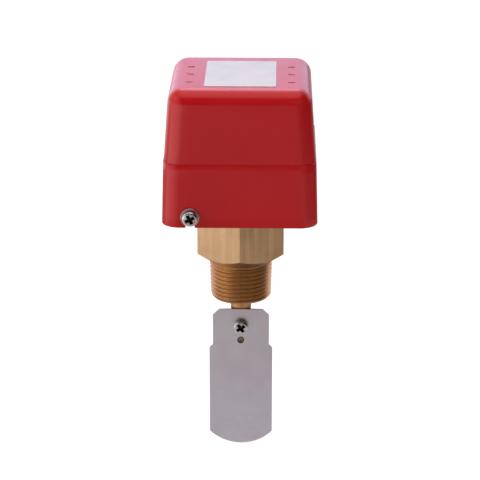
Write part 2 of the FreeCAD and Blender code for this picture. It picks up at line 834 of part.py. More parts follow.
def paddle_arm():
    part = body("paddle_arm")
    turn(part, "Revolution", "Rod", polygon(sketch(part, "RodSketch", "XZ_Plane"), [
        ("0", "-arm_drop"),
        ("arm_radius - arm_chamfer", "-arm_drop"),
        ("arm_radius", "-arm_drop + arm_chamfer"),
        ("arm_radius", "lever_seat"),
        ("stud_radius", "lever_seat"),
        ("stud_radius", "lever_seat + stud_length - arm_chamfer"),
        ("stud_radius - arm_chamfer", "lever_seat + stud_length"),
        ("0", "lever_seat + stud_length"),
    ]))
    flat = rectangle(sketch(part, "FlatSketch", "YZ_Plane"), "-arm_radius - cut_margin", "-flat_offset",
                     "-arm_drop - cut_margin", "paddle_top + flat_margin")
    pocket(part, "Flat", flat, "4 * arm_radius", both=True)
    screw = circle(sketch(part, "ScrewHoleSketch", "XZ_Plane"), "0", "paddle_screw_height",
                   "screw_radius")
    pocket(part, "ScrewHole", screw, "4 * arm_radius", both=True)
    pin = circle(sketch(part, "PinHoleSketch", "XZ_Plane"), "0", "locating_pin_height",
                 "locating_pin_radius")
    pocket(part, "LocatingHole", pin, "4 * arm_radius", both=True)
    cross = circle(sketch(part, "CrossHoleSketch", "YZ_Plane"), "0", "pivot", "pin_radius")
    pocket(part, "CrossHole", cross, "4 * arm_radius", both=True)


def paddle():
    part = body("paddle")
    drawing = sketch(part, "PaddleSketch", "XZ_Plane", "flat_offset")
    neck = "paddle_neck_width / 2"
    half = "paddle_width / 2"
    rise = "sqrt(paddle_foot_radius ^ 2 - (paddle_width / 2) ^ 2)"
    centre = "paddle_top - paddle_length + paddle_foot_radius"
    foot = f"{centre} - {rise}"
    shoulder = "paddle_top - paddle_neck_length"
    slope = "(paddle_width - paddle_neck_width) / 2"
    points = [
        (f"-{half}", foot),
        (f"-{half}", f"{shoulder} - {slope}"),
        (f"-{neck}", shoulder),
        (f"-{neck}", "paddle_top - paddle_corner_cut"),
        (f"-{neck} + paddle_corner_cut", "paddle_top"),
        (f"{neck} - paddle_corner_cut", "paddle_top"),
        (neck, "paddle_top - paddle_corner_cut"),
        (neck, shoulder),
        (half, f"{shoulder} - {slope}"),
        (half, foot),
    ]
    corners = [Vector(number(across), number(along), 0) for across, along in points]
    for start, end in zip(corners, corners[1:]):
        drawing.addGeometry(Part.LineSegment(start, end), False)
    for index, (across, along) in enumerate(points[:-1]):
        locate(drawing, index, 1, across, along)
        if index:
            drawing.addConstraint(Sketcher.Constraint("Coincident", index - 1, 2, index, 1))
    last = len(points) - 2
    locate(drawing, last, 2, *points[-1])
    lowest = Vector(0, number("paddle_top - paddle_length"), 0)
    arc = drawing.addGeometry(Part.Arc(corners[-1], lowest, corners[0]), False)
    ends = [(last, 2), (0, 1)]
    arc_start = drawing.getPoint(arc, 1)
    if (arc_start - corners[-1]).Length > 1e-6:
        ends.reverse()
    for end, (line, spot) in enumerate(ends, start=1):
        drawing.addConstraint(Sketcher.Constraint("Coincident", line, spot, arc, end))
    circle(drawing, "0", "paddle_screw_height", "screw_radius + screw_hole_clearance")
    circle(drawing, "0", "locating_pin_height", "locating_pin_radius + locating_hole_clearance")
    index = drawing.addConstraint(Sketcher.Constraint("Radius", arc, number("paddle_foot_radius")))
    bind(drawing, f"Constraints[{index}]", "paddle_foot_radius")
    pad(part, "Sheet", drawing, "paddle_sheet")


def paddle_fittings():
    subpart(ring("lock_ring", "spring_washer_radius", "screw_radius + washer_hole_clearance",
                 "paddle_washer_thickness",
                 ("0", "-paddle_face - paddle_washer_thickness", "paddle_screw_height"), "Y"),
            "paddle_spring_washer")
    seat = ("0", "-paddle_face - paddle_washer_thickness", "paddle_screw_height")
    subpart(pan_screw("clamping_screw", seat, "Y", 1, "paddle_screw_length"), "paddle_screw")
    subpart(rod("locating_pin", "locating_pin_radius", "paddle_screw_length",
                ("0", "-paddle_face + locating_pin_recess", "locating_pin_height"), "Y"),
            "locating_pin")


def actuator_lever():
    part = body("actuator_lever")
    front = "-adjuster_offset - lever_front_margin"
    outline = rectangle(sketch(part, "LeverSketch", "XY_Plane", "lever_seat"), "-lever_width / 2",
                        "lever_width / 2", front, "lever_back")
    circle(outline, "0", "0", "stud_radius")
    circle(outline, "0", "-adjuster_offset", "lever_slot_radius")
    plate = pad(part, "Plate", outline, "lever_sheet")
    short = number("lever_sheet") + 0.01
    soften(part, "Fillet", "Corners", plate,
           lambda box: box.XLength + box.YLength < 0.01 and box.ZLength < short
           and abs(box.XMin) > number("lever_width / 2") - 0.01, "lever_corner")
    subpart(ring("washer", "lever_washer_radius", "stud_radius", "lever_washer_thickness",
                 ("0", "0", "lever_top")), "lever_washer")
    subpart(nut("locknut", "nut_across_flats", "stud_radius", "nut_height",
                ("0", "0", "lever_top + lever_washer_thickness")), "lever_nut")


# Range adjuster

def adjuster_feet():
    return [(f"{side} * adjuster_screw_spread", "adjuster_screw_line") for side in (-1, 1)]


def adjuster():
    part = body("adjuster_bracket")
    outer = "-adjuster_bracket_offset"
    inner = "-adjuster_bracket_offset + bracket_sheet"
    profile = polygon(sketch(part, "ProfileSketch", "YZ_Plane"), [
        (outer, "tray_top"),
        (outer + " + adjuster_foot", "tray_top"),
        (outer + " + adjuster_foot", "tray_top + bracket_sheet"),
        (inner, "tray_top + bracket_sheet"),
        (inner, "shelf_bottom"),
        (outer + " + adjuster_shelf", "shelf_bottom"),
        (outer + " + adjuster_shelf", "shelf_top"),
        (outer, "shelf_top"),
    ])
    pad(part, "Sheet", profile, "adjuster_bracket_width", both=True)
    hole = circle(sketch(part, "ScrewSketch", "XY_Plane", "shelf_top"), "0", "-adjuster_offset",
                  "adjuster_radius + running_clearance")
    pocket(part, "ScrewHole", hole, "bracket_sheet + cut_margin")
    feet = sketch(part, "FootSketch", "XY_Plane", "tray_top")
    for across, along in adjuster_feet():
        circle(feet, across, along, "small_screw_radius")
    pocket(part, "FootHoles", feet, "2 * bracket_sheet", back=True)

    tip = "tray_top + adjuster_tip_rise"
    shank = rod("adjuster_shank", "adjuster_radius", f"shelf_top - ({tip})",
                ("0", "-adjuster_offset", tip))
    head = rod("adjuster_head", "adjuster_head_radius", "adjuster_head_height",
               ("0", "-adjuster_offset", "shelf_top"))
    slot = block("adjuster_slot", ("2 * adjuster_head_radius", "adjuster_slot_width",
                                   "adjuster_slot_depth"),
                 ("-adjuster_head_radius", "-adjuster_offset - adjuster_slot_width / 2",
                  "shelf_top + adjuster_head_height - adjuster_slot_depth"))
    whole = fuse("adjuster_blank", [shank, head])
    subpart(cut("adjuster_screw", whole, slot), "adjusting_screw")
    subpart(ring("clip", "adjuster_head_radius", "adjuster_radius", "clip_thickness",
                 ("0", "-adjuster_offset", "shelf_bottom - clip_clearance - clip_thickness")),
            "adjusting_clip")

    seat = body("spring_seat")
    outline = rectangle(sketch(seat, "SeatSketch", "XY_Plane", "seat_bottom"), "-seat_width / 2",
                        "seat_width / 2", inner + " + seat_clearance",
                        "-adjuster_offset + seat_back")
    circle(outline, "0", "-adjuster_offset", "adjuster_radius + running_clearance")
    pad(seat, "Seat", outline, "seat_thickness")
    range_spring()


def range_spring():
    """An open coil between the seat and the lever, its wire drawn with four sides."""
    part = body("range_spring")
    part.Placement.Base = Vector(0, -number("adjuster_offset"), number("spring_start"))
    bind(part, "Placement.Base.y", "-adjuster_offset")
    bind(part, "Placement.Base.z", "spring_start")
    section = polygon(sketch(part, "WireSketch", "XZ_Plane"), [
        (f"spring_radius + spring_wire_radius * cos({angle})",
         f"spring_wire_radius * sin({angle})")
        for angle in range(0, 360, 90)
    ])
    coil = part.newObject("PartDesign::AdditiveHelix", "Coil")
    coil.Profile = section
    coil.ReferenceAxis = (section, ["V_Axis"])
    coil.Mode = "pitch-height-angle"
    bind(coil, "Height", "lever_seat - spring_wire_radius - spring_start")
    bind(coil, "Pitch", "(lever_seat - spring_wire_radius - spring_start) / spring_coils")
    doc.recompute()


# Switch

def switch_feet():
    return [(f"-case_offset + {side} * (bracket_half_width - switch_foot_width / 2)",
             "bracket_back - (switch_foot + bracket_sheet) / 2") for side in (-1, 1)]


def mounting_places():
    return [f"-case_offset + {side} * mounting_spread / 2" for side in (-1, 1)]


def case_block(part, front, depth):
    """The outline that the case and its lid share, with the two mounting holes."""
    left = "-case_offset - case_width / 2"
    right = "-case_offset + case_width / 2"
    drawing = rectangle(sketch(part, "CaseSketch", "XZ_Plane", f"-({front})"), left, right,
                        "case_bottom", "case_top")
    for across in mounting_places():
        circle(drawing, across, "mounting_height", "small_screw_radius")
    solid = pad(part, "Case", drawing, depth, back=True)
    outer = number("case_width / 2") - 0.01
    middle = -number("case_offset")
    return soften(part, "Fillet", "CaseCorners", solid,
                  lambda box: box.XLength < 0.01 and box.ZLength < 0.01
                  and abs(box.XMin - middle) > outer, "case_rounding")


def switch():
    part = body("switch_case")
    case_block(part, "case_front", "case_depth")
    ribs = sketch(part, "BarrierSketch", "XZ_Plane", "-case_front")
    for index in range(4):
        left = f"-case_offset - case_width / 2 + {index} * bay_pitch"
        if index == 0:
            left += " + case_rounding"
        right = f"-case_offset - case_width / 2 + {index} * bay_pitch + barrier_thickness"
        if index == 0:
            right += " + case_rounding"
        if index == 3:
            left += " - case_rounding"
            right += " - case_rounding"
        rectangle(ribs, left, right, "case_top - cut_margin", "case_top + barrier_height")
    pad(part, "Barriers", ribs, "case_depth", back=True)
    bore = circle(sketch(part, "PlungerSketch", "XY_Plane", "case_bottom"), "0", "plunger_offset",
                  "plunger_radius + running_clearance")
    pocket(part, "PlungerBore", bore, "plunger_depth + plunger_travel_room", back=True)
    threads = sketch(part, "TerminalSketch", "XY_Plane", "case_top")
    for across in bays():
        circle(threads, across, "case_front + case_depth / 2", "terminal_screw_radius")
    pocket(part, "TerminalHoles", threads, "terminal_screw_depth")
    case_block(body("switch_lid"), "lid_front", "lid_thickness")
    subpart(rod("plunger", "plunger_radius", "plunger_stand + plunger_depth",
                ("0", "plunger_offset", "plunger_tip")), "switch_plunger")
    terminals()
    switch_mounting()


def bays():
    return [f"-case_offset - case_width / 2 + barrier_thickness / 2 + ({index} + 0.5) * bay_pitch"
            for index in range(3)]


def terminals():
    seats = []
    for label, across in zip(("terminal_closed", "terminal_open", "terminal_common"), bays()):
        plate = block(label + "_plate", ("terminal_width", "terminal_depth",
                                         "terminal_thickness"),
                      (f"{across} - terminal_width / 2",
                       "case_front + case_depth / 2 - terminal_depth / 2 - 2", "case_top"))
        hole = rod(label + "_hole", "terminal_screw_radius", "terminal_thickness",
                   (across, "case_front + case_depth / 2", "case_top"))
        subpart(cut(label + "_strip", plate, hole), label)
        seats.append((across, "case_front + case_depth / 2", "case_top + terminal_thickness"))
    screw_group("terminal_screws", seats, "Z", -1, "terminal_screw_depth + terminal_thickness",
                TERMINAL)


def switch_mounting():
    part = body("switch_bracket")
    profile = polygon(sketch(part, "ProfileSketch", "YZ_Plane", "-case_offset"), [
        ("bracket_back", "tray_top"),
        ("bracket_back", "case_top"),
        ("case_back", "case_top"),
        ("case_back", "tray_top + bracket_sheet"),
        ("bracket_back - switch_foot", "tray_top + bracket_sheet"),
        ("bracket_back - switch_foot", "tray_top"),
    ])
    pad(part, "Sheet", profile, "2 * bracket_half_width", both=True)
    holes = sketch(part, "MountingSketch", "XZ_Plane", "-case_back")
    for across in mounting_places():
        circle(holes, across, "mounting_height", "small_screw_radius")
    rectangle(holes, "-case_offset - mounting_spread / 4", "-case_offset + mounting_spread / 4",
              "yoke_top + switch_window_margin", "case_bottom - switch_window_margin / 2")
    pocket(part, "MountingHoles", holes, "2 * bracket_sheet")
    between = sketch(part, "BetweenFeetSketch", "XY_Plane", "tray_top")
    inner = "(bracket_half_width - switch_foot_width)"
    rectangle(between, "-case_offset - " + inner, "-case_offset + " + inner,
              "bracket_back - switch_foot - cut_margin", "case_back")
    pocket(part, "BetweenFeet", between, "2 * bracket_sheet", back=True)
    feet = sketch(part, "FootSketch", "XY_Plane", "tray_top")
    for across, along in switch_feet():
        circle(feet, across, along, "small_screw_radius")
    pocket(part, "FootHoles", feet, "2 * bracket_sheet", back=True)
    through = "case_depth + lid_thickness + bracket_sheet + small_nut_height + cut_margin"
    screw_group("switch_mounting_screws", [(across, "case_front", "mounting_height")
                                           for across in mounting_places()],
                "Y", 1, through, SMALL)
    nuts = [nut(f"mounting_nut_{index}", "small_nut_across_flats", "small_screw_radius",
                "small_nut_height", (across, "bracket_back", "mounting_height"), "Y")
            for index, across in enumerate(mounting_places(), start=1)]
    subpart(group("mounting_nuts", nuts), "switch_mounting_nuts")


def bracket_screws():
    places = [(across, along, "tray_top + bracket_sheet")
              for across, along in adjuster_feet() + switch_feet()]
    screw_group("bracket_screws", places, "Z", -1, "bracket_sheet + tray_sheet", SMALL)


def earth_terminal():
    plate = block("earth_plate", ("earth_clamp_width", "earth_clamp_width",
                                  "earth_clamp_thickness"),
                  ("earth_across - earth_clamp_width / 2",
                   "earth_along - earth_clamp_width / 2", "tray_top"))
    hole = rod("earth_hole", "screw_radius", "earth_clamp_thickness",
               ("earth_across", "earth_along", "tray_top"))
    subpart(cut("earth_strip", plate, hole), "earth_clamp")
    seat = ("earth_across", "earth_along", "tray_top + earth_clamp_thickness")
    screw_group("earth_screw", [seat], "Z", -1, "tray_sheet + earth_clamp_thickness", LARGE)


def yoke_screws():
    places = [(across, along, "yoke_top")
              for across, along in square_of_four("flange_screw_circle_radius")]
    length = "yoke_sheet + tray_sheet + gasket_thickness + body_screw_depth - cut_margin"
    screw_group("yoke_screws", places, "Z", -1, length, LARGE)


def export():
    doc.recompute()
    for item in doc.Objects:
        if "Invalid" in item.State or "Error" in item.State:
            raise RuntimeError(f"{item.Label}: {item.State}")
    for item in subparts:
        if item.Shape.isNull() or not item.Shape.isValid():
            raise RuntimeError(f"{item.Label}: the shape isn't sound")
    os.makedirs("parts", exist_ok=True)
    for item in subparts:
        item.Shape.exportStep(f"parts/{item.Label}.step")
        print(item.Label, len(item.Shape.Solids), round(item.Shape.Volume, 2))


brass_body()
bellows_group()
flange_plate("body_gasket", "hex_height", "gasket_thickness", "screw_radius + screw_hole_clearance")
cover()
cover_fittings()
base_tray()
cover_seal()
cable_grommet()
pivot_yoke()
yoke_screws()
pivot_fittings()
lever_block()
paddle_arm()
paddle()
paddle_fittings()
actuator_lever()
adjuster()
switch()
bracket_screws()
earth_terminal()
export()
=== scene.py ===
import json
import math

import bmesh
import bpy
from mathutils import Matrix, Vector

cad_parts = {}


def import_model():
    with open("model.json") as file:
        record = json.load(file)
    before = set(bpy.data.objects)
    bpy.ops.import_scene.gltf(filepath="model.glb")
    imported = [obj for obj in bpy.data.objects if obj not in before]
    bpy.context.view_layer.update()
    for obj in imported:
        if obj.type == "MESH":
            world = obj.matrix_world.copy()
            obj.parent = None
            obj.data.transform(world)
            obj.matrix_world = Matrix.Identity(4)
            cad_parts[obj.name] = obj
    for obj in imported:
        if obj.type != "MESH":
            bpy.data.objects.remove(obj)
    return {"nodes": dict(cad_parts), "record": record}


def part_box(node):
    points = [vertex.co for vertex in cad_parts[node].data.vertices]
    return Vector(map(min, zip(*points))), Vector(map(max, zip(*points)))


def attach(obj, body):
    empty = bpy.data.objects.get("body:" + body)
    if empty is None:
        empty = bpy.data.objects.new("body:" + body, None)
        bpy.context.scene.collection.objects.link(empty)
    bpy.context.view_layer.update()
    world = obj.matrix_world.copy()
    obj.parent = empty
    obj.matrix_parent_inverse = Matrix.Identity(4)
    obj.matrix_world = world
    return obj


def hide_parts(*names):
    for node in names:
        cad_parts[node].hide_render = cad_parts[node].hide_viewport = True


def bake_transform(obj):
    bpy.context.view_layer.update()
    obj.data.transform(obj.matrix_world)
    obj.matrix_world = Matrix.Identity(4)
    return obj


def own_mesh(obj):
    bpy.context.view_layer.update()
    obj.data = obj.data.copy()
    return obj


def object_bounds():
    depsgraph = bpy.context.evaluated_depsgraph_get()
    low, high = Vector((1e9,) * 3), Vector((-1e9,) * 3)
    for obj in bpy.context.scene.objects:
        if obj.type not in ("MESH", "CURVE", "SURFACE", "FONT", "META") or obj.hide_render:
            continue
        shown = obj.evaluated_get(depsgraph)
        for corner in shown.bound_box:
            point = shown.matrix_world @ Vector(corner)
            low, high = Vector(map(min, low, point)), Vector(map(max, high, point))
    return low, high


# Paddle flow switch, dressed. Metres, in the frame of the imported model: +Z up the axis of the pipe
# thread, the origin where the thread meets the hexagon's cone, the cover's front facing -Y.

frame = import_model()
cad_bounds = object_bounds()

MM = 0.001


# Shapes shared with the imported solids, in metres

THREAD_RADIUS = 16.62 * MM
THREAD_PITCH = 25.4 / 11 * MM
THREAD_TAPER = 1 / 32
WORN_DEPTH = 1.25 * MM
THREAD_LENGTH = 21 * MM
HEX_FLATS = 46 * MM
CONE_HEIGHT = 7 * MM
BORE_RADIUS = 12 * MM
CHAMBER_RADIUS = 14 * MM
CHAMBER_DEPTH = 24 * MM
RING_THICKNESS = 1.5 * MM
RING_CLEARANCE = 0.1 * MM
SKIRT_HEIGHT = 33.75 * MM
SKIRT_DRAFT = math.radians(1.53)
UPPER_DRAFT = math.radians(4)
LEDGE = 0.35 * MM
CORNER = 9 * MM
CROWN = 8 * MM
WALL = 2.5 * MM
SLOT_RADIUS = 2.4 * MM
COVER_SCREW_RISE = 6 * MM
NOTCH_RADIUS = 11.3 * MM
PLAIN_WASHER_THICKNESS = 0.9 * MM

# Screws as (shank radius, height of head, pitch)

M3 = (1.5 * MM, 2.0 * MM, 0.5 * MM)
M3_5 = (1.75 * MM, 2.0 * MM, 0.6 * MM)
M4 = (2.0 * MM, 2.6 * MM, 0.7 * MM)


def corner_low(node):
    return Vector(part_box(node)[0])


def corner_high(node):
    return Vector(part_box(node)[1])


def middle(node):
    return (corner_low(node) + corner_high(node)) / 2


# Mesh helpers

def mesh_piece(name, points, faces):
    mesh = bpy.data.meshes.new(name)
    mesh.from_pydata([tuple(point) for point in points], [], faces)
    mesh.validate()
    piece = bpy.data.objects.new(name, mesh)
    bpy.context.scene.collection.objects.link(piece)
    return piece


def tidy(piece, angle=35.0, merge=1e-7):
    """Merge doubled points, turn faces outwards and smooth all but the sharp edges."""
    work = bmesh.new()
    work.from_mesh(piece.data)
    bmesh.ops.remove_doubles(work, verts=work.verts, dist=merge)
    bmesh.ops.recalc_face_normals(work, faces=work.faces)
    work.to_mesh(piece.data)
    work.free()
    piece.data.shade_smooth()
    piece.data.set_sharp_from_angle(angle=math.radians(angle))
    return piece


def bridge(rings):
    """Quads between closed rings of equal length."""
    faces = []
    count = len(rings[0])
    for level in range(len(rings) - 1):
        for index in range(count):
            after = (index + 1) % count
            faces.append((level * count + index, level * count + after,
                          (level + 1) * count + after, (level + 1) * count + index))
    return faces


def skinned(name, rings, capped=False, angle=35.0):
    """A piece over rings of equal length; capped closes the first and the last of them."""
    points = [point for ring in rings for point in ring]
    faces = bridge(rings)
    if capped:
        count = len(rings[0])
        faces.append(tuple(range(count)))
        faces.append(tuple(range(len(points) - 1, len(points) - count - 1, -1)))
    return tidy(mesh_piece(name, points, faces), angle=angle)


def around(radius, angle, height):
    """A point at a distance from the Z axis, its angle in radians."""
    return Vector((radius * math.cos(angle), radius * math.sin(angle), height))


def lathe(name, profile, segments=96):
    """A turned piece from (radius, height) points; a zero radius closes it."""
    angles = [2 * math.pi * step / segments for step in range(segments)]
    return skinned(name, [[around(radius, angle, height) for angle in angles]
                          for radius, height in profile])


def apply_modifiers(piece):
    graph = bpy.context.evaluated_depsgraph_get()
    mesh = bpy.data.meshes.new_from_object(piece.evaluated_get(graph))
    piece.modifiers.clear()
    old = piece.data
    piece.data = mesh
    bpy.data.meshes.remove(old)
    return piece


def carve(piece, tools):
    """Take the tools' shapes out of the piece and delete the tools."""
    for tool in tools:
        change = piece.modifiers.new("carve", "BOOLEAN")
        change.operation = "DIFFERENCE"
        change.solver = "EXACT"
        change.object = tool
        apply_modifiers(piece)
        bpy.data.objects.remove(tool)
    return piece


def bevel(piece, width, segments=2, angle=40.0):
    change = piece.modifiers.new("edge", "BEVEL")
    change.width = width
    change.segments = segments
    change.limit_method = "ANGLE"
    change.angle_limit = math.radians(angle)
    change.harden_normals = False
    return apply_modifiers(piece)


def join(name, pieces):
    """One piece from several."""
    points = []
    faces = []
    for piece in pieces:
        start = len(points)
        points += [vertex.co.copy() for vertex in piece.data.vertices]
        faces += [tuple(start + index for index in face.vertices) for face in piece.data.polygons]
        bpy.data.objects.remove(piece)
    return tidy(mesh_piece(name, points, faces), merge=1e-9)


def towards(direction):
    """Turns a piece made along +Z to another direction."""
    return Vector((0, 0, 1)).rotation_difference(Vector(direction)).to_matrix().to_4x4()


def arc(centre, radius, start, end, steps):
    """Points (across, up) on an arc, its angles in degrees."""
    points = []
    for step in range(steps + 1):
        angle = math.radians(start + (end - start) * step / steps)
        points.append((centre[0] + radius * math.cos(angle), centre[1] + radius * math.sin(angle)))
    return points


# Node materials

def mixed(tree, kind, amount, first, second):
    """Two colours put together by one of the mix node's ways; each value may be a socket."""
    node = tree.nodes.new("ShaderNodeMix")
    node.data_type = "RGBA"
    node.blend_type = kind
    for socket, value in ((node.inputs[0], amount), (node.inputs[6], first),
                          (node.inputs[7], second)):
        if isinstance(value, (int, float)):
            socket.default_value = value
        elif isinstance(value, tuple):
            socket.default_value = (*value, 1.0)
        else:
            tree.links.new(value, socket)
    return node.outputs[2]


def ramped(tree, source, stops):
    """A colour that follows a number from 0 to 1, from (number, colour) stops."""
    node = tree.nodes.new("ShaderNodeValToRGB")
    ramp = node.color_ramp
    while len(ramp.elements) < len(stops):
        ramp.elements.new(0.5)
    for element, (spot, colour) in zip(ramp.elements, stops):
        element.position = spot
        element.color = (*colour, 1.0)
    tree.links.new(source, node.inputs["Fac"])
    return node.outputs["Color"]


class Material:
    """A Principled material with short calls for its texture nodes."""

    def __init__(self, name):
        self.data = bpy.data.materials.new(name)
        self.data.use_nodes = True
        self.tree = self.data.node_tree
        self.shader = self.tree.nodes["Principled BSDF"]
        self.place = self.tree.nodes.new("ShaderNodeTexCoord").outputs["Object"]

    def set(self, **values):
        for name, value in values.items():
            self.shader.inputs[name.replace("_", " ")].default_value = value
        return self

    def link(self, source, target):
        self.tree.links.new(source, target)

    def stretch(self, scale, turn=(0, 0, 0)):
        node = self.tree.nodes.new("ShaderNodeMapping")
        node.inputs["Scale"].default_value = scale
        node.inputs["Rotation"].default_value = turn
        self.link(self.place, node.inputs["Vector"])
        return node.outputs["Vector"]

    def noise(self, scale, detail=4.0, roughness=0.55, stretch=None, distortion=0.0):
        node = self.tree.nodes.new("ShaderNodeTexNoise")
        node.inputs["Scale"].default_value = scale
        node.inputs["Detail"].default_value = detail
        node.inputs["Roughness"].default_value = roughness
        node.inputs["Distortion"].default_value = distortion
        self.link(self.stretch(stretch) if stretch else self.place, node.inputs["Vector"])
        return node.outputs["Fac"]

    def ramp(self, source, stops):
        return ramped(self.tree, source, stops)

    def span(self, source, low, high, start=0.0, end=1.0):
        node = self.tree.nodes.new("ShaderNodeMapRange")
        for name, value in (("From Min", start), ("From Max", end), ("To Min", low),
                            ("To Max", high)):
            node.inputs[name].default_value = value
        self.link(source, node.inputs["Value"])
        return node.outputs["Result"]

    def mix(self, amount, first, second, kind="MIX"):
        return mixed(self.tree, kind, amount, first, second)

    def bump(self, sources):
        """Bumps chained from (height, strength, distance) in metres."""
        normal = None
        for height, strength, distance in sources:
            node = self.tree.nodes.new("ShaderNodeBump")
            node.inputs["Strength"].default_value = strength
            node.inputs["Distance"].default_value = distance
            self.link(height, node.inputs["Height"])
            if normal:
                self.link(normal, node.inputs["Normal"])
            normal = node.outputs["Normal"]
        self.link(normal, self.shader.inputs["Normal"])
        return self

    def sunk(self, distance, open_at=0.92, closed_at=0.45):
        """How deep in a recess the surface lies, from 0 to 1."""
        node = self.tree.nodes.new("ShaderNodeAmbientOcclusion")
        node.samples = 8
        node.only_local = True
        node.inputs["Distance"].default_value = distance
        return self.span(node.outputs["AO"], 0.0, 1.0, open_at, closed_at)

    def height_above(self, low, high):
        """From 0 at one height of the part's frame to 1 at another."""
        split = self.tree.nodes.new("ShaderNodeSeparateXYZ")
        self.link(self.place, split.inputs[0])
        return self.span(split.outputs["Z"], 0.0, 1.0, low, high)

    def colour(self, source):
        self.link(source, self.shader.inputs["Base Color"])
        return self

    def roughness(self, source):
        self.link(source, self.shader.inputs["Roughness"])
        return self


def red_plastic():
    look = Material("cover_red")
    look.set(IOR=1.5, Specular_IOR_Level=0.5)
    cloud = look.noise(18.0, detail=3.0)
    base = look.ramp(cloud, [(0.3, (0.50, 0.004, 0.006)), (0.7, (0.56, 0.006, 0.008))])
    speck = look.noise(900.0, detail=2.0)
    base = look.mix(look.span(speck, 0.0, 0.12, 0.62, 0.75), base, (0.60, 0.03, 0.03))
    # Painted shade: the red turns dark in hollows and concave corners, such as the foot of the upper
    # wall on the ledge and inside the slots.
    base = look.mix(look.sunk(0.0012, 0.97, 0.55), base, (0.26, 0.001, 0.002))
    look.colour(base)
    smear = look.noise(60.0, detail=5.0)
    look.roughness(look.span(smear, 0.18, 0.26, 0.3, 0.7))
    look.bump([(look.noise(25.0, detail=2.0), 0.12, 0.0006),
               (look.noise(1400.0, detail=3.0), 0.10, 0.00002)])
    return look.data


def brass(name, light, dark, streaks, rough, below=None):
    """Turned brass; below tints the surface under the origin, where the thread is cut."""
    look = Material(name)
    look.set(Metallic=1.0)
    streak = look.noise(1.0, detail=6.0, roughness=0.7, stretch=streaks)
    stain = look.noise(70.0, detail=4.0)
    base = look.ramp(streak, [(0.30, dark), (0.70, light)])
    if below:
        base = look.mix(look.height_above(0.0004, -0.0008), base, below, "MULTIPLY")
    tint = tuple(value * 0.62 for value in dark)
    base = look.mix(look.span(stain, 0.0, 0.55, 0.52, 0.80), base, tint)
    # Painted shade: the brass goes dark in hollows, grooves and narrow gaps, where little light
    # reaches.
    painted_shade = tuple(value * 0.45 for value in dark)
    base = look.mix(look.sunk(0.0015, 0.80, 0.25), base, painted_shade)
    look.colour(base)
    look.roughness(look.span(streak, rough + 0.10, rough - 0.05, 0.3, 0.7))
    look.bump([(streak, 0.25, 0.00003), (look.noise(500.0), 0.15, 0.00002)])
    return look.data


def steel(name, light, dark, rough, grain=(300.0, 300.0, 300.0), patches=45.0, recess_shade=0.0):
    """Plated or brushed steel, with shade painted at the bottom of recesses by the given fraction.
    """
    look = Material(name)
    look.set(Metallic=1.0)
    patch = look.noise(patches, detail=6.0, roughness=0.6)
    base = look.ramp(patch, [(0.32, dark), (0.68, light)])
    # Painted shade: the bottoms of recesses darken towards black by this fraction.
    if recess_shade:
        dim = tuple(value * (1.0 - recess_shade) for value in dark)
        base = look.mix(look.sunk(0.0040, 0.95, 0.78), base, dim)
    look.colour(base)
    fine = look.noise(1.0, detail=5.0, stretch=grain)
    look.roughness(look.span(fine, rough - 0.06, rough + 0.08, 0.3, 0.7))
    look.bump([(fine, 0.15, 0.00002), (patch, 0.10, 0.00005)])
    return look.data


def plain(name, light, dark, rough, grain=900.0, depth=0.00003, **extra):
    """Rubber, nylon, phenolic and paper."""
    look = Material(name)
    look.set(**extra)
    cloud = look.noise(120.0, detail=4.0)
    look.colour(look.ramp(cloud, [(0.3, dark), (0.7, light)]))
    fine = look.noise(grain, detail=3.0)
    look.roughness(look.span(fine, rough - 0.05, rough + 0.08, 0.3, 0.7))
    look.bump([(fine, 0.3, depth)])
    return look.data


LOOKS = {
    "cover_plastic": red_plastic(),
    "label": plain("label_white", (0.66, 0.65, 0.66), (0.60, 0.59, 0.60), 0.42, 2500.0, 0.00001),
    "brass": brass("brass_turned", (0.80, 0.52, 0.285), (0.64, 0.41, 0.21),
                   (380.0, 380.0, 14.0), 0.36, below=(0.98, 0.86, 0.66)),
    "bellows_metal": brass("bronze", (0.60, 0.38, 0.20), (0.48, 0.30, 0.15),
                           (400.0, 400.0, 400.0), 0.35),
    "paddle_steel": steel("paddle_satin", (0.87, 0.86, 0.87), (0.80, 0.73, 0.78), 0.42,
                          patches=38.0),
    "plated_steel": steel("zinc_plate", (0.68, 0.67, 0.62), (0.56, 0.55, 0.50), 0.36, recess_shade=0.4),
    "fastener_steel": steel("nickel", (0.86, 0.84, 0.82), (0.70, 0.68, 0.66), 0.22, recess_shade=0.97),
    "spring_steel": steel("spring_wire", (0.55, 0.55, 0.57), (0.45, 0.45, 0.47), 0.28),
    "gasket_rubber": plain("rubber_black", (0.030, 0.030, 0.032), (0.018, 0.018, 0.020), 0.60),
    "spacer_nylon": plain("nylon", (0.82, 0.80, 0.72), (0.74, 0.72, 0.64), 0.45),
    "switch_phenolic": plain("phenolic", (0.035, 0.035, 0.038), (0.020, 0.020, 0.022), 0.36),
    "plunger_red": plain("plunger_red", (0.50, 0.05, 0.04), (0.42, 0.04, 0.03), 0.40),
    "terminal_brass": brass("terminal", (0.72, 0.60, 0.34), (0.60, 0.48, 0.25),
                            (300.0, 300.0, 300.0), 0.30),
}
WASHER_LOOK = steel("washer_zinc", (0.60, 0.57, 0.54), (0.40, 0.38, 0.36), 0.30, recess_shade=0.9)
PIN_LOOK = brass("pin_brown", (0.36, 0.27, 0.19), (0.22, 0.16, 0.11), (300.0, 300.0, 300.0), 0.40)
SLOT_OF = {part["node"]: part["material_slot"] for part in frame["record"]["subparts"]}
BODY_OF = {node: name for name, nodes in frame["record"]["behaviour"]["bodies"].items()
           for node in nodes}


def dress(piece, *nodes, look=None, rides=True):
    """The piece stands for CAD nodes, rides with them unless it bends, and takes their slot."""
    slot = SLOT_OF[nodes[0]]
    piece.data.materials.clear()
    piece.data.materials.append(look or LOOKS[slot])
    if rides:
        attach(piece, BODY_OF[nodes[0]])
    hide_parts(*nodes)
    return piece


# Cover

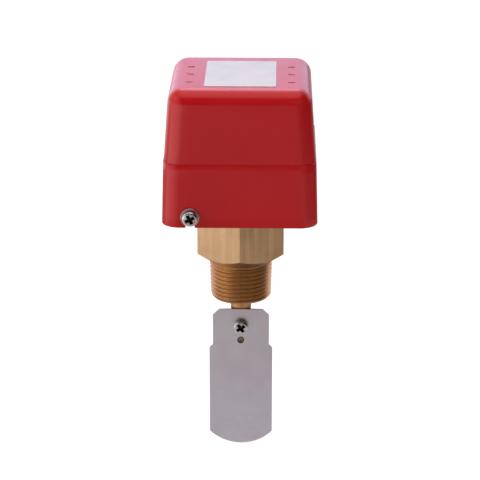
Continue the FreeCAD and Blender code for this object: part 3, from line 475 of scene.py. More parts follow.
def rounded_ring(half_width, half_depth, corner, height, corner_steps=12, side_steps=10):
    """A level ring round a rectangle with round corners, always with as many points."""
    corner = max(corner, 0.0002)
    ring = []
    centres = [(half_width - corner, -half_depth + corner, -90),
               (half_width - corner, half_depth - corner, 0),
               (-half_width + corner, half_depth - corner, 90),
               (-half_width + corner, -half_depth + corner, 180)]
    for index, (across, along, start) in enumerate(centres):
        turn = arc((across, along), corner, start, start + 90, corner_steps)
        ring += [Vector((x, y, height)) for x, y in turn]
        after = centres[(index + 1) % 4]
        first = arc((after[0], after[1]), corner, after[2], after[2] + 90, 1)[0]
        last = turn[-1]
        for step in range(1, side_steps):
            part = step / side_steps
            ring.append(Vector((last[0] + (first[0] - last[0]) * part,
                                last[1] + (first[1] - last[1]) * part, height)))
    return ring


def stadium(centre, radius, low, depth):
    """An upright slot cutter: round at the top, straight down to low, along Y by depth."""
    outline = arc((centre.x, centre.z), radius, 0, 180, 24)
    outline += [(centre.x - radius, low), (centre.x + radius, low)]
    return skinned("cutter", [[Vector((x, y, z)) for x, z in outline]
                              for y in (centre.y - depth / 2, centre.y + depth / 2)],
                   capped=True)


def cover_piece():
    low, high = corner_low("cover"), corner_high("cover")
    half_width, half_depth = high.x, high.y
    rim, crown = low.z, high.z
    ledge = rim + SKIRT_HEIGHT
    skirt_lean = SKIRT_HEIGHT * math.tan(SKIRT_DRAFT)
    rim_round = 0.7 * MM
    soft = 0.18 * MM

    def shell(wall):
        """(inset, height) up the side of the outer (wall 0) or inner skin."""
        top = crown - wall
        radius = CROWN - wall
        upper = skirt_lean + LEDGE
        centre_height = top - radius
        rise = centre_height - ledge
        centre = upper + rise * math.tan(UPPER_DRAFT) + radius / math.cos(UPPER_DRAFT)
        side = [(skirt_lean * step / 6, rim + SKIRT_HEIGHT * step / 6) for step in range(7)]
        if not wall:
            side[0] = (rim_round * math.tan(SKIRT_DRAFT), rim + rim_round)
            side[-1:] = [(skirt_lean, ledge - soft), (skirt_lean + soft * 0.3,
                         ledge - soft * 0.3), (skirt_lean + soft, ledge)]
        side.append((upper, ledge))
        if not wall:
            side.append((upper + 0.0001 * MM, ledge + soft))
        for step in range(1, 6):
            up = rise * step / 6
            side.append((upper + up * math.tan(UPPER_DRAFT), ledge + up))
        start = math.degrees(UPPER_DRAFT)
        for x, z in arc((0.0, centre_height), radius, start, 90, 14):
            side.append((centre - x, z))
        return side

    def ring(inset, height, wall):
        corner = CORNER - wall
        shrink = max(0.0, height - (crown - CROWN)) / max(CROWN - wall, 1e-6)
        if shrink:
            radius = CROWN - wall
            lift = min(1.0, (height - (crown - wall - radius)) / radius)
            lift = max(0.0, lift)
            corner -= radius * (1 - math.sqrt(max(0.0, 1 - lift * lift)))
        return rounded_ring(half_width - wall - inset, half_depth - wall - inset, corner, height)

    outer = [ring(inset, height, 0.0) for inset, height in shell(0.0)]
    inner = [ring(inset, height, WALL) for inset, height in shell(WALL)]
    lip = []
    for across, up in arc((rim_round, rim_round), rim_round, 270, 180, 4)[:-1]:
        lip.append(rounded_ring(half_width - across, half_depth - across, CORNER, rim + up))
    rings = list(reversed(inner)) + lip + outer
    piece = skinned("cover_shell", rings, capped=True, angle=50.0)
    head_radius = 4 * MM
    offset = corner_high("cover_screws").x - head_radius
    height = rim + COVER_SCREW_RISE
    tools = []
    for side in (-1, 1):
        spot = Vector((side * offset, side * half_depth, height))
        tools.append(stadium(spot, SLOT_RADIUS, rim - 2 * MM, 10 * MM))
    notch = Vector((middle("cover_screws").x, half_depth, middle("cable_grommet").z))
    tools.append(stadium(notch, NOTCH_RADIUS, rim - 2 * MM, 12 * MM))
    carve(piece, tools)
    piece = join("cover_shell_marked", [piece] + crown_marks(crown))
    tidy(piece, angle=38.0)
    return dress(piece, "cover")


def crown_marks(crown):
    """Short raised bars moulded beside the label, with no meaning of their own."""
    bars = []
    for across in (-26.5, 26.5):
        for along, turn in ((-19.0, 8.0), (-3.0, -20.0), (12.0, 8.0)):
            rings = []
            for inset, up in ((0.0, -0.05), (0.0, 0.12), (0.12, 0.22)):
                ring = rounded_ring((1.9 - inset) * MM, (0.45 - inset) * MM,
                                    (0.40 - inset) * MM, crown + up * MM, 5, 4)
                rings.append(ring)
            bar = skinned("bar", rings, capped=True)
            spot = Vector((across * MM, along * MM, 0))
            bar.data.transform(Matrix.Translation(spot) @
                               Matrix.Rotation(math.radians(turn), 4, "Z"))
            bars.append(bar)
    return bars


# Brass body

def hex_outline(flats, rounding, corner_steps=4, side_steps=14):
    """Points round a hexagon with a corner towards -Y and slightly rounded corners."""
    reach = flats / math.sqrt(3)
    centre = reach - rounding / math.cos(math.radians(30))
    points = []
    for corner in range(6):
        facing = -90 + 60 * corner
        spot = Vector((centre * math.cos(math.radians(facing)),
                       centre * math.sin(math.radians(facing))))
        turn = arc(spot, rounding, facing - 30, facing + 30, corner_steps)
        points += turn
        after = math.radians(facing + 60)
        spot = (centre * math.cos(after), centre * math.sin(after))
        first = arc(spot, rounding, facing + 30, facing + 31, 1)[0]
        for step in range(1, side_steps):
            part = step / side_steps
            points.append((turn[-1][0] + (first[0] - turn[-1][0]) * part,
                           turn[-1][1] + (first[1] - turn[-1][1]) * part))
    return points


def thread_height(turns):
    """How far a rounded thread stands above its root, from 0 to 1, over one pitch."""
    return (0.5 - 0.5 * math.cos(2 * math.pi * turns)) ** 1.25


def brass_piece():
    low, high = corner_low("brass_body"), corner_high("brass_body")
    outline = hex_outline(HEX_FLATS, 0.5 * MM)
    angles = [math.atan2(y, x) for x, y in outline]
    reach = [math.hypot(x, y) for x, y in outline]
    corner_reach = HEX_FLATS / math.sqrt(3)
    slope = CONE_HEIGHT / (corner_reach - THREAD_RADIUS)
    chamfer = 1.6 * MM
    fade = 1.6 * MM
    rings = []
    steps = 230
    for step in range(steps + 1):
        height = low.z - low.z * step / steps
        ring = []
        for angle in angles:
            rise = thread_height(height / THREAD_PITCH - angle / (2 * math.pi))
            top = min(1.0, max(0.0, -height / fade))
            rise = 1.0 - (1.0 - rise) * top
            crest = THREAD_RADIUS + THREAD_TAPER * (height + THREAD_LENGTH / 2) * top
            radius = crest - WORN_DEPTH * (1.0 - rise)
            radius = min(radius, THREAD_RADIUS - chamfer + (height - low.z))
            ring.append(around(radius, angle, height))
        rings.append(ring)
    for step in range(1, 9):
        part = step / 8
        rings.append([around(THREAD_RADIUS + (far - THREAD_RADIUS) * part, angle,
                             slope * (far - THREAD_RADIUS) * part)
                      for angle, far in zip(angles, reach)])
    edge = [slope * (far - THREAD_RADIUS) for far in reach]
    for step in range(1, 7):
        rings.append([Vector((x, y, start + (high.z - start) * step / 6))
                      for (x, y), start in zip(outline, edge)])
    recess = corner_high("bellows_ring").x + RING_CLEARANCE
    shelf = high.z - RING_THICKNESS
    bottom = high.z - CHAMBER_DEPTH
    relief = 0.5 * MM
    inside = [(recess, high.z), (recess, shelf), (CHAMBER_RADIUS, shelf), (CHAMBER_RADIUS, bottom),
              (BORE_RADIUS, bottom - CHAMBER_RADIUS + BORE_RADIUS),
              (BORE_RADIUS, low.z + relief), (BORE_RADIUS + relief, low.z)]
    for radius, height in inside:
        rings.append([around(radius, angle, height) for angle in angles])
    rings.append(rings[0])
    piece = skinned("brass_fitting", rings, angle=24.0)
    return dress(piece, "brass_body")


# Fasteners

def pan_head(name, radius, height):
    """A pan head along +Z from its seat, with a cross recess."""
    profile = [(0.0, 0.0), (radius - 0.1 * MM, 0.0), (radius, 0.12 * MM)]
    curl = 0.45 * height
    profile += arc((radius - curl, height - 1.15 * curl), curl, 0, 62, 8)
    last = profile[-1]
    steps = 8
    for step in range(1, steps + 1):
        part = step / steps
        profile.append((last[0] * (1 - part), last[1] + (height - last[1]) *
                        math.sin(math.radians(90 * part))))
    head = lathe(name, profile, 96)
    tools = []
    for turn in (0, 90):
        rings = []
        for long_part, wide_part, deep_part in ((0.70, 0.25, -0.2), (0.64, 0.22, 0.2),
                                                (0.30, 0.16, 0.80)):
            up = height * (1 - deep_part)
            rings.append([Vector((x * long_part * radius, y * wide_part * radius, up))
                          for x, y in ((1, 1), (-1, 1), (-1, -1), (1, -1))])
        tool = skinned("cutter", rings, capped=True)
        tool.data.transform(Matrix.Rotation(math.radians(turn), 4, "Z"))
        tools.append(tool)
    carve(head, tools)
    bevel(head, 0.05 * MM, 2, 50.0)
    return tidy(head, angle=40.0)


def threaded_shank(name, radius, length, pitch):
    """A screw's shank along -Z with a helical thread."""
    segments = 40
    steps = max(2, int(length / pitch * 8))
    depth = pitch * 0.6
    rings = [[Vector((0, 0, 0))] * segments]
    for step in range(steps + 1):
        height = -length * step / steps
        ring = []
        for index in range(segments):
            angle = 2 * math.pi * index / segments
            rise = thread_height(height / pitch - angle / (2 * math.pi))
            reach = radius - depth * (1 - rise)
            reach = min(reach, radius - depth + (length + height) * 0.8)
            ring.append(around(reach, angle, height))
        rings.append(ring)
    rings.append([Vector((0, 0, -length))] * segments)
    return skinned(name, rings, angle=50.0)


def washer(name, outside, inside, thickness):
    edge = min(0.12 * MM, thickness / 4)
    return lathe(name, [
        (inside + edge, 0), (outside - edge, 0), (outside, edge), (outside, thickness - edge),
        (outside - edge, thickness), (inside + edge, thickness), (inside, thickness - edge),
        (inside, edge), (inside + edge, 0)], 96)


def split_washer(name, outside, inside, thickness, gap=7.0, start=0.0):
    """A spring washer: a ring cut through, its ends a little apart in height."""
    wire = thickness * 0.78
    lift = thickness - wire
    edge = 0.1 * MM
    section = [(inside + edge, 0), (outside - edge, 0), (outside, edge), (outside, wire - edge),
               (outside - edge, wire), (inside + edge, wire), (inside, wire - edge),
               (inside, edge)]
    rings = []
    steps = 72
    for step in range(steps + 1):
        angle = math.radians(start + gap + (360 - 2 * gap) * step / steps)
        rise = lift * step / steps
        rings.append([around(radius, angle, up + rise) for radius, up in section])
    return skinned(name, rings, capped=True)


def set_down(piece, spot, direction, spin=0.0):
    """Turn a piece made along +Z about itself, then to a direction, and move it to its spot."""
    turn = towards(direction) @ Matrix.Rotation(math.radians(spin), 4, "Z")
    piece.data.transform(Matrix.Translation(spot) @ turn)
    return piece


def cover_screws():
    low, high = corner_low("cover_screws"), corner_high("cover_screws")
    plain_low, plain_high = corner_low("cover_plain_washers"), corner_high("cover_plain_washers")
    spring = corner_high("cover_spring_washers")
    radius = (high.z - low.z) / 2
    height = (high.z + low.z) / 2
    offset = high.x - radius
    seat = spring.y
    tall = high.y - seat
    heads = []
    plain_rings = []
    spring_rings = []
    for side, spin in ((-1, 28.0), (1, 64.0)):
        out = (0, side, 0)
        spot = Vector((side * offset, side * seat, height))
        head = pan_head("head", radius, tall)
        shank = threaded_shank("shank", M4[0], 9 * MM, M4[2])
        heads.append(set_down(join("screw", [head, shank]), spot, out, spin))
        wide = (plain_high.z - plain_low.z) / 2
        base = Vector((side * offset, side * (plain_high.y - PLAIN_WASHER_THICKNESS), height))
        ring = washer("ring", wide, 2.15 * MM, PLAIN_WASHER_THICKNESS)
        plain_rings.append(set_down(ring, base, out))
        base = Vector((side * offset, side * (spring.y - 1.0 * MM), height))
        spring_rings.append(set_down(split_washer("ring", 3.8 * MM, 2.1 * MM, 1.0 * MM), base,
                                     out, 40.0))
    dress(join("cover_screw_pair", heads), "cover_screws")
    dress(join("cover_washer_pair", plain_rings), "cover_plain_washers", look=WASHER_LOOK)
    dress(join("cover_spring_washer_pair", spring_rings), "cover_spring_washers",
          look=WASHER_LOOK)


def paddle_screw():
    low, high = corner_low("paddle_screw"), corner_high("paddle_screw")
    radius = (high.z - low.z) / 2
    spot = Vector((0, corner_low("paddle_spring_washer").y, middle("paddle_screw").z))
    head = pan_head("head", radius, spot.y - low.y)
    shank = threaded_shank("shank", M4[0], high.y - spot.y, M4[2])
    piece = set_down(join("paddle_screw_piece", [head, shank]), spot, (0, -1, 0), 35.0)
    dress(piece, "paddle_screw")
    base = Vector((0, corner_high("paddle_spring_washer").y, spot.z))
    ring = split_washer("paddle_lock_washer", 3.8 * MM, 2.1 * MM, 0.9 * MM)
    dress(set_down(ring, base, (0, -1, 0), 200.0), "paddle_spring_washer", look=WASHER_LOOK)


def islands(node):
    """The lowest and highest corners of each separate solid of a node, in order."""
    work = bmesh.new()
    work.from_mesh(frame["nodes"][node].data)
    bmesh.ops.remove_doubles(work, verts=work.verts, dist=1e-6)
    work.verts.ensure_lookup_table()
    owner = {}
    boxes = []
    for first in work.verts:
        if first.index in owner:
            continue
        group = []
        stack = [first]
        owner[first.index] = True
        while stack:
            vertex = stack.pop()
            group.append(vertex.co.copy())
            for edge in vertex.link_edges:
                other = edge.other_vert(vertex)
                if other.index not in owner:
                    owner[other.index] = True
                    stack.append(other)
        boxes.append((Vector([min(point[axis] for point in group) for axis in range(3)]),
                      Vector([max(point[axis] for point in group) for axis in range(3)])))
    work.free()
    return boxes


def screws(node, out, thread, look=None):
    """Pan-head screws in the places of a node's plain ones; out points from tip to head."""
    shank_radius, head_height, pitch = thread
    direction = Vector(out)
    made = []
    for index, (low, high) in enumerate(islands(node)):
        centre = (low + high) / 2
        size = high - low
        length = abs(size.dot(direction))
        radius = max(size - direction * size.dot(direction)) / 2
        seat = centre + direction * (length / 2 - head_height)
        head = pan_head("head", radius, head_height)
        shank = threaded_shank("shank", shank_radius, length - head_height, pitch)
        made.append(set_down(join("screw", [head, shank]), seat, out, 25.0 + 47.0 * index))
    return dress(join(node + "_detailed", made), node, look=look)


def nut(flats, inside, height):
    """A hexagon nut along +Z from its seat, corners along X, its edges turned off."""
    turned = []
    chamfer = 0.16 * flats
    for up, inset in ((0.0, chamfer * 0.6), (chamfer * 0.35, 0.0), (height - chamfer * 0.35, 0.0),
                      (height, chamfer * 0.6)):
        ring = []
        for x, y in hex_outline(flats, 0.15 * MM, 2, 10):
            reach = math.hypot(x, y)
            keep = min(1.0, (flats / math.sqrt(3) - inset) / reach)
            ring.append(Vector((-y * keep, x * keep, up)))
        turned.append(ring)
    for radius, up in ((inside + 0.25 * MM, height), (inside, height - 0.25 * MM),
                       (inside, 0.25 * MM), (inside + 0.25 * MM, 0.0)):
        turned.append([Vector((point.x * radius / point.xy.length,
                               point.y * radius / point.xy.length, up)) for point in turned[0]])
    turned.append(turned[0])
    return skinned("nut", turned)


def soft_copy(node, width):
    """A copy of a node's solid with its edges broken, as pressed and moulded pieces have."""
    work = bmesh.new()
    work.from_mesh(frame["nodes"][node].data)
    bmesh.ops.remove_doubles(work, verts=work.verts, dist=1e-6)
    bmesh.ops.dissolve_limit(work, angle_limit=math.radians(1.0), verts=work.verts,
                             edges=work.edges)
    mesh = bpy.data.meshes.new(node + "_finished")
    work.to_mesh(mesh)
    work.free()
    piece = bpy.data.objects.new(node + "_finished", mesh)
    bpy.context.scene.collection.objects.link(piece)
    bevel(piece, width, 2, 32.0)
    tidy(piece, angle=20.0, merge=1e-8)
    return dress(piece, node)


def label():
    """A bare label, a little forward of the crown's middle and rounded at its corners."""
    low, high = corner_low("label_plate"), corner_high("label_plate")
    half_width = (high.x - low.x) / 2
    back_gap = 4.5 * MM
    half_depth = (high.y - low.y - back_gap) / 2
    middle_y = low.y + half_depth
    rings = []
    for inset, up in ((0.0, low.z), (0.0, high.z - 0.12 * MM), (0.06 * MM, high.z - 0.03 * MM),
                      (0.2 * MM, high.z)):
        ring = rounded_ring(half_width - inset, half_depth - inset, 1.0 * MM - inset, up, 6, 14)
        rings.append([point + Vector((0, middle_y, 0)) for point in ring])
    dress(skinned("bare_label", rings, capped=True), "label_plate")


def locating_pin():
    low, high = corner_low("locating_pin"), corner_high("locating_pin")
    radius = (high.z - low.z) / 2
    length = high.y - low.y
    edge = 0.35 * MM
    profile = [(0, 0), (radius - 0.3 * MM, 0), (radius, 0.3 * MM), (radius, length - edge),
               (radius - edge, length), (radius * 0.45, length - 0.12 * MM),
               (0, length - 0.2 * MM)]
    piece = lathe("locating_pin_turned", profile, 64)
    spot = Vector((0, high.y, (low.z + high.z) / 2))
    dress(set_down(piece, spot, (0, -1, 0)), "locating_pin", look=PIN_LOOK)


def coil_spring(wire=0.5 * MM):
    """A round wire coil in two lengths: the lower one rides with the spring's body, and the upper
    one is attached to no body."""
    start = corner_high("spring_seat").z + wire
    end = corner_low("actuator_lever").z - wire
    centre = middle("adjusting_screw")
    radius = 5.2 * MM
    turns = 5.0
    steps = 300
    parted = 172
    rings = []
    for step in range(steps + 1):
        part = step / steps
        rise = min(1.0, max(0.0, (part - 0.12) / 0.76))
        angle = 2 * math.pi * turns * part
        spot = Vector((centre.x + radius * math.cos(angle), centre.y + radius * math.sin(angle),
                       start + (end - start) * rise))
        outward = Vector((math.cos(angle), math.sin(angle), 0))
        rings.append([spot + (outward * math.cos(turn) + Vector((0, 0, math.sin(turn)))) * wire
                      for turn in (2 * math.pi * index / 12 for index in range(12))])
    pieces = []
    for name, stretch in (("lower", rings[:parted + 1]), ("upper", rings[parted:])):
        piece = skinned("range_spring_" + name, stretch, capped=True, angle=50.0)
        pieces.append(dress(piece, "range_spring", rides=name == "lower"))
    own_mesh(pieces[0])
    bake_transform(pieces[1])


def bellows():
    """Rolled folds between the collar and the ring."""
    low, high = corner_low("bellows"), corner_high("bellows")
    outside = high.x
    inside = outside - 2.9 * MM
    folds = 7
    profile = []
    for step in range(folds * 12 + 1):
        part = step / (folds * 12)
        wave = 0.5 - 0.5 * math.cos(2 * math.pi * folds * part)
        profile.append((inside + (outside - inside) * wave, low.z + (high.z - low.z) * part))
    wall = 0.25 * MM
    profile += [(radius - wall, up) for radius, up in reversed(profile)]
    profile.append(profile[0])
    piece = dress(lathe("bellows_folds", profile, 72), "bellows", rides=False)
    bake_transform(piece)


def adjusting_screw():
    low, high = corner_low("adjusting_screw"), corner_high("adjusting_screw")
    centre = (low + high) / 2
    radius = high.x
    head_height = 4.0 * MM
    seat = high.z - head_height
    profile = [(0, 0), (radius - 0.3 * MM, 0), (radius, 0.3 * MM),
               (radius, head_height - 0.6 * MM), (radius - 0.5 * MM, head_height - 0.1 * MM),
               (radius - 1.2 * MM, head_height), (0, head_height)]
    head = lathe("head", profile, 72)
    corners = ((1, 1), (-1, 1), (-1, -1), (1, -1))
    slot = skinned("cutter", [[Vector((x * 6 * MM, y * 0.6 * MM, head_height + z * 1.8 * MM))
                               for x, y in corners] for z in (-1, 1)], capped=True)
    carve(head, [slot])
    shank = threaded_shank("shank", 2.5 * MM, seat - low.z, 0.8 * MM)
    piece = join("adjusting_screw_threaded", [head, shank])
    spot = Vector((centre.x, centre.y, seat))
    dress(set_down(piece, spot, (0, 0, 1)), "adjusting_screw")


def open_clip(name, outside, inside, thickness, opening=70.0):
    """A retaining clip: a flat ring with one side open and its ends rounded off."""
    rings = []
    steps = 60
    for step in range(steps + 1):
        angle = math.radians(opening / 2 + (360 - opening) * step / steps)
        near = min(step, steps - step)
        outer = outside - (outside - inside) * 0.35 * max(0.0, 1 - near / 3) ** 2
        rings.append([around(reach, angle, up)
                      for reach, up in ((inside, 0), (outer, 0), (outer, thickness),
                                        (inside, thickness))])
    return bevel(skinned(name, rings, capped=True), 0.08 * MM, 2, 50.0)


def clips(node, out, shaft, spin):
    """Open clips in the places of a node's closed ones."""
    made = []
    for low, high in islands(node):
        size = high - low
        direction = Vector(out)
        thickness = abs(size.dot(direction))
        spot = (low + high) / 2 - direction * thickness / 2
        made.append(set_down(open_clip("clip", max(size) / 2, shaft, thickness), spot,
                             out, spin))
    dress(join(node + "_open", made), node)


def pivot_pin():
    low, high = corner_low("pivot_pin"), corner_high("pivot_pin")
    radius = high.y
    length = high.x - low.x
    groove = [(radius, 2.2 * MM), (radius - 0.45 * MM, 2.2 * MM), (radius - 0.45 * MM, 3.0 * MM),
              (radius, 3.0 * MM)]
    far = [(reach, length - up) for reach, up in reversed(groove)]
    profile = [(0, 0), (radius - 0.4 * MM, 0), (radius, 0.4 * MM)] + groove + far
    profile += [(radius, length - 0.4 * MM), (radius - 0.4 * MM, length), (0, length)]
    piece = lathe("pivot_pin_ground", profile, 64)
    dress(set_down(piece, Vector((low.x, 0, (low.z + high.z) / 2)), (1, 0, 0)), "pivot_pin")


def small_parts():
    screws("yoke_screws", (0, 0, 1), M4)
    screws("bracket_screws", (0, 0, 1), M3)
    screws("earth_screw", (0, 0, 1), M4)
    screws("terminal_screws", (0, 0, 1), M3_5, look=LOOKS["terminal_brass"])
    screws("switch_mounting_screws", (0, -1, 0), M3)
    low, high = corner_low("lever_nut"), corner_high("lever_nut")
    locknut = nut(high.y - low.y, 3.05 * MM, high.z - low.z)
    dress(set_down(locknut, Vector((0, 0, low.z)), (0, 0, 1)), "lever_nut")
    low, high = corner_low("lever_washer"), corner_high("lever_washer")
    dress(set_down(washer("lever_washer_turned", high.x, 3.05 * MM, high.z - low.z),
                   Vector((0, 0, low.z)), (0, 0, 1)), "lever_washer", look=WASHER_LOOK)
    nuts = []
    for low, high in islands("switch_mounting_nuts"):
        centre = (low + high) / 2
        piece = nut(high.z - low.z, 1.52 * MM, high.y - low.y)
        nuts.append(set_down(piece, Vector((centre.x, low.y, centre.z)), (0, 1, 0)))
    dress(join("switch_nut_pair", nuts), "switch_mounting_nuts")
    clips("pivot_clips", (1, 0, 0), 2.1 * MM, spin=90.0)
    clips("adjusting_clip", (0, 0, 1), 2.1 * MM, spin=30.0)
    rings = []
    for low, high in islands("pivot_spacers"):
        piece = washer("spacer", high.y, 2.55 * MM, high.x - low.x)
        rings.append(set_down(piece, Vector((low.x, 0, (low.z + high.z) / 2)), (1, 0, 0)))
    dress(join("pivot_spacer_pair", rings), "pivot_spacers")


def softened_parts():
    soft_copy("paddle", 0.16 * MM)
    for node, width in (("paddle_arm", 0.25), ("actuator_lever", 0.22), ("lever_block", 0.30),
                        ("pivot_yoke", 0.22), ("adjuster_bracket", 0.22),
                        ("switch_bracket", 0.20), ("spring_seat", 0.25), ("switch_case", 0.20),
                        ("switch_lid", 0.25), ("terminal_closed", 0.12), ("terminal_open", 0.12),
                        ("terminal_common", 0.12), ("earth_clamp", 0.15), ("switch_plunger", 0.2),
                        ("bellows_ring", 0.2), ("bellows_collar", 0.2), ("body_gasket", 0.15),
                        ("cable_grommet", 0.35), ("base_tray", 0.22)):
        soft_copy(node, width * MM)


# Stage

def colour_ramp(tree, source, low, high, stops):
    """A colour that follows a number, from (number, colour) stops between low and high."""
    scale = tree.nodes.new("ShaderNodeMapRange")
    scale.inputs["From Min"].default_value = low
    scale.inputs["From Max"].default_value = high
    tree.links.new(source, scale.inputs["Value"])
    return ramped(tree, scale.outputs["Result"],
                  [((spot - low) / (high - low), colour) for spot, colour in stops])


def either(tree, first, second):
    """1 where one of two switches is on."""
    node = tree.nodes.new("ShaderNodeMath")
    node.operation = "MAXIMUM"
    tree.links.new(first, node.inputs[0])
    tree.links.new(second, node.inputs[1])
    return node.outputs[0]


def floor_glow(tree, seen):
    """What the floor sends out: white to the camera, and to reflections a grey that is brighter
    on the left, warm close in front of the part, and dim behind it."""
    place = tree.nodes.new("ShaderNodeNewGeometry")
    split = tree.nodes.new("ShaderNodeSeparateXYZ")
    tree.links.new(place.outputs["Position"], split.inputs[0])
    white = (1.0, 1.0, 1.0)
    warm = (0.62, 0.46, 0.34)
    dim = (0.40, 0.34, 0.31)
    across = colour_ramp(tree, split.outputs["X"], -1.0, 1.0, [
        (-1.0, (1.70, 1.62, 1.70)), (-0.55, (1.25, 1.20, 1.25)), (-0.36, (0.74, 0.72, 0.74)),
        (0.0, (0.52, 0.50, 0.53)), (0.34, (0.64, 0.59, 0.56)), (0.52, (0.16, 0.15, 0.16)),
        (0.74, (0.05, 0.04, 0.05)), (0.80, (1.50, 1.45, 1.55)), (0.88, (0.05, 0.04, 0.05))])
    in_front = colour_ramp(tree, split.outputs["Y"], -1.0, 0.0, [
        (-0.60, (0.72, 0.76, 0.80)), (-0.45, warm), (-0.29, warm), (-0.19, white)])
    beside = colour_ramp(tree, split.outputs["X"], -0.4, 0.4, [
        (-0.26, (0.0, 0.0, 0.0)), (-0.12, white), (0.12, white), (0.26, (0.0, 0.0, 0.0))])
    behind = colour_ramp(tree, split.outputs["Y"], 0.0, 1.0, [
        (0.04, white), (0.14, dim), (0.38, dim), (0.60, white)])
    glow_colour = mixed(tree, "MULTIPLY", beside, across, in_front)
    glow_colour = mixed(tree, "MULTIPLY", 1.0, glow_colour, behind)
    colour = mixed(tree, "MIX", seen.outputs["Is Glossy Ray"], (0.72, 0.72, 0.72), glow_colour)
    glow = tree.nodes.new("ShaderNodeEmission")
    tree.links.new(colour, glow.inputs["Color"])
    shown = either(tree, seen.outputs["Is Camera Ray"], seen.outputs["Is Glossy Ray"])
    tree.links.new(shown, glow.inputs["Strength"])
    return glow


def stage():
    floor_height = cad_bounds[0][2] - 0.0015
    bpy.ops.mesh.primitive_plane_add(size=12.0, location=(0, 0, floor_height))
    floor = bpy.context.object
    floor.name = "floor"
    paper = bpy.data.materials.new("paper")
    paper.use_nodes = True
    tree = paper.node_tree
    tree.nodes.clear()
    out = tree.nodes.new("ShaderNodeOutputMaterial")
    matte = tree.nodes.new("ShaderNodeBsdfDiffuse")
    matte.inputs["Color"].default_value = (0.50, 0.50, 0.50, 1)
    seen = tree.nodes.new("ShaderNodeLightPath")
    glow = floor_glow(tree, seen)
    fade = tree.nodes.new("ShaderNodeMixShader")
    tree.links.new(seen.outputs["Is Glossy Ray"], fade.inputs["Fac"])
    both = tree.nodes.new("ShaderNodeAddShader")
    tree.links.new(matte.outputs[0], both.inputs[0])
    tree.links.new(glow.outputs[0], both.inputs[1])
    tree.links.new(both.outputs[0], fade.inputs[1])
    tree.links.new(glow.outputs[0], fade.inputs[2])
    tree.links.new(fade.outputs[0], out.inputs["Surface"])
    floor.data.materials.append(paper)


def sky_part(tree, direction, low, high, colour):
    """Light that fades in as one part of the direction goes from low to high."""
    fade = tree.nodes.new("ShaderNodeMapRange")
    fade.interpolation_type = "SMOOTHSTEP"
    fade.inputs["From Min"].default_value = low
    fade.inputs["From Max"].default_value = high
    tree.links.new(direction, fade.inputs["Value"])
    return mixed(tree, "MIX", fade.outputs["Result"], (0.0, 0.0, 0.0), colour)


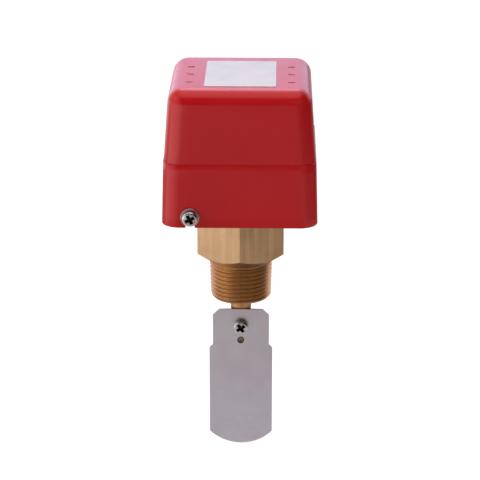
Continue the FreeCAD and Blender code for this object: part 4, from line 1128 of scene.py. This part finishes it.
def world():
    """White to the camera, an even soft light on matt surfaces, and to reflections a studio:
    a lavender backdrop with a softbox above it, a light overhead, another on the left and
    darkness in front."""
    sky = bpy.data.worlds.new("studio")
    bpy.context.scene.world = sky
    sky.use_nodes = True
    tree = sky.node_tree
    tree.nodes.clear()
    out = tree.nodes.new("ShaderNodeOutputWorld")
    seen = tree.nodes.new("ShaderNodeLightPath")
    place = tree.nodes.new("ShaderNodeTexCoord")
    split = tree.nodes.new("ShaderNodeSeparateXYZ")
    tree.links.new(place.outputs["Generated"], split.inputs[0])
    back = sky_part(tree, split.outputs["Y"], 0.15, 0.75, (1.15, 1.10, 1.50))
    above = sky_part(tree, split.outputs["Z"], 0.72, 0.92, (1.15, 1.02, 1.05))
    left = sky_part(tree, split.outputs["X"], -0.30, -0.90, (0.85, 0.80, 0.86))
    between = tree.nodes.new("ShaderNodeVectorMath")
    between.operation = "DOT_PRODUCT"
    between.inputs[1].default_value = (0.0, 0.707, 0.707)
    tree.links.new(place.outputs["Generated"], between.inputs[0])
    box = sky_part(tree, between.outputs["Value"], 0.91, 0.985, (3.6, 3.0, 3.9))
    studio = back
    for light in (above, left, box):
        studio = mixed(tree, "LIGHTEN", 1.0, studio, light)
    soft = tree.nodes.new("ShaderNodeBackground")
    soft.inputs["Strength"].default_value = 0.36
    mirror = tree.nodes.new("ShaderNodeBackground")
    tree.links.new(studio, mirror.inputs["Color"])
    white = tree.nodes.new("ShaderNodeBackground")
    for light in (soft, white):
        light.inputs["Color"].default_value = (1, 1, 1, 1)
    lit = tree.nodes.new("ShaderNodeMixShader")
    tree.links.new(seen.outputs["Is Glossy Ray"], lit.inputs["Fac"])
    tree.links.new(soft.outputs[0], lit.inputs[1])
    tree.links.new(mirror.outputs[0], lit.inputs[2])
    direct = either(tree, seen.outputs["Is Camera Ray"], seen.outputs["Is Transmission Ray"])
    mix = tree.nodes.new("ShaderNodeMixShader")
    tree.links.new(direct, mix.inputs["Fac"])
    tree.links.new(lit.outputs[0], mix.inputs[1])
    tree.links.new(white.outputs[0], mix.inputs[2])
    tree.links.new(mix.outputs[0], out.inputs["Surface"])


def softbox(name, spot, target, size, power):
    """A light that no reflection shows; the floor and the world make the reflections."""
    light = bpy.data.lights.new(name, "AREA")
    light.shape = "RECTANGLE"
    light.size, light.size_y = size
    light.energy = power
    lamp = bpy.data.objects.new(name, light)
    lamp.location = spot
    lamp.rotation_euler = (Vector(target) - Vector(spot)).to_track_quat("-Z", "Y").to_euler()
    lamp.visible_glossy = False
    bpy.context.scene.collection.objects.link(lamp)


def camera():
    """At the viewing angle: a long lens, a little above and to the right of the front."""
    azimuth = math.radians(1.2)
    elevation = math.radians(19.6)
    distance = 1.070
    target = Vector((-0.00054, 0, 0.0103))
    away = Vector((math.sin(azimuth) * math.cos(elevation),
                   -math.cos(azimuth) * math.cos(elevation), math.sin(elevation)))
    lens = bpy.data.cameras.new("view")
    lens.sensor_width = 36
    lens.lens = 148.65
    lens.clip_start = 0.05
    lens.clip_end = 50
    eye = bpy.data.objects.new("view", lens)
    eye.location = target + away * distance
    eye.rotation_euler = (-away).to_track_quat("-Z", "Y").to_euler()
    bpy.context.scene.collection.objects.link(eye)
    bpy.context.scene.camera = eye


def lights():
    aim = (0, 0, 0.02)
    softbox("key", (-1.45, -0.45, 0.9), aim, (0.7, 0.9), 15.0)
    softbox("fill", (0.7, -1.3, 0.6), aim, (0.8, 1.0), 4.6)
    softbox("top", (0.0, 0.3, 1.5), aim, (1.2, 0.8), 7.0)


# Assembly

for node, thing in frame["nodes"].items():
    thing.data.materials.clear()
    thing.data.materials.append(LOOKS[SLOT_OF[node]])

camera()
stage()
world()
lights()
cover_piece()
brass_piece()
label()
cover_screws()
paddle_screw()
locating_pin()
adjusting_screw()
coil_spring()
bellows()
pivot_pin()
small_parts()
softened_parts()

bpy.context.scene.view_settings.view_transform = "Standard"
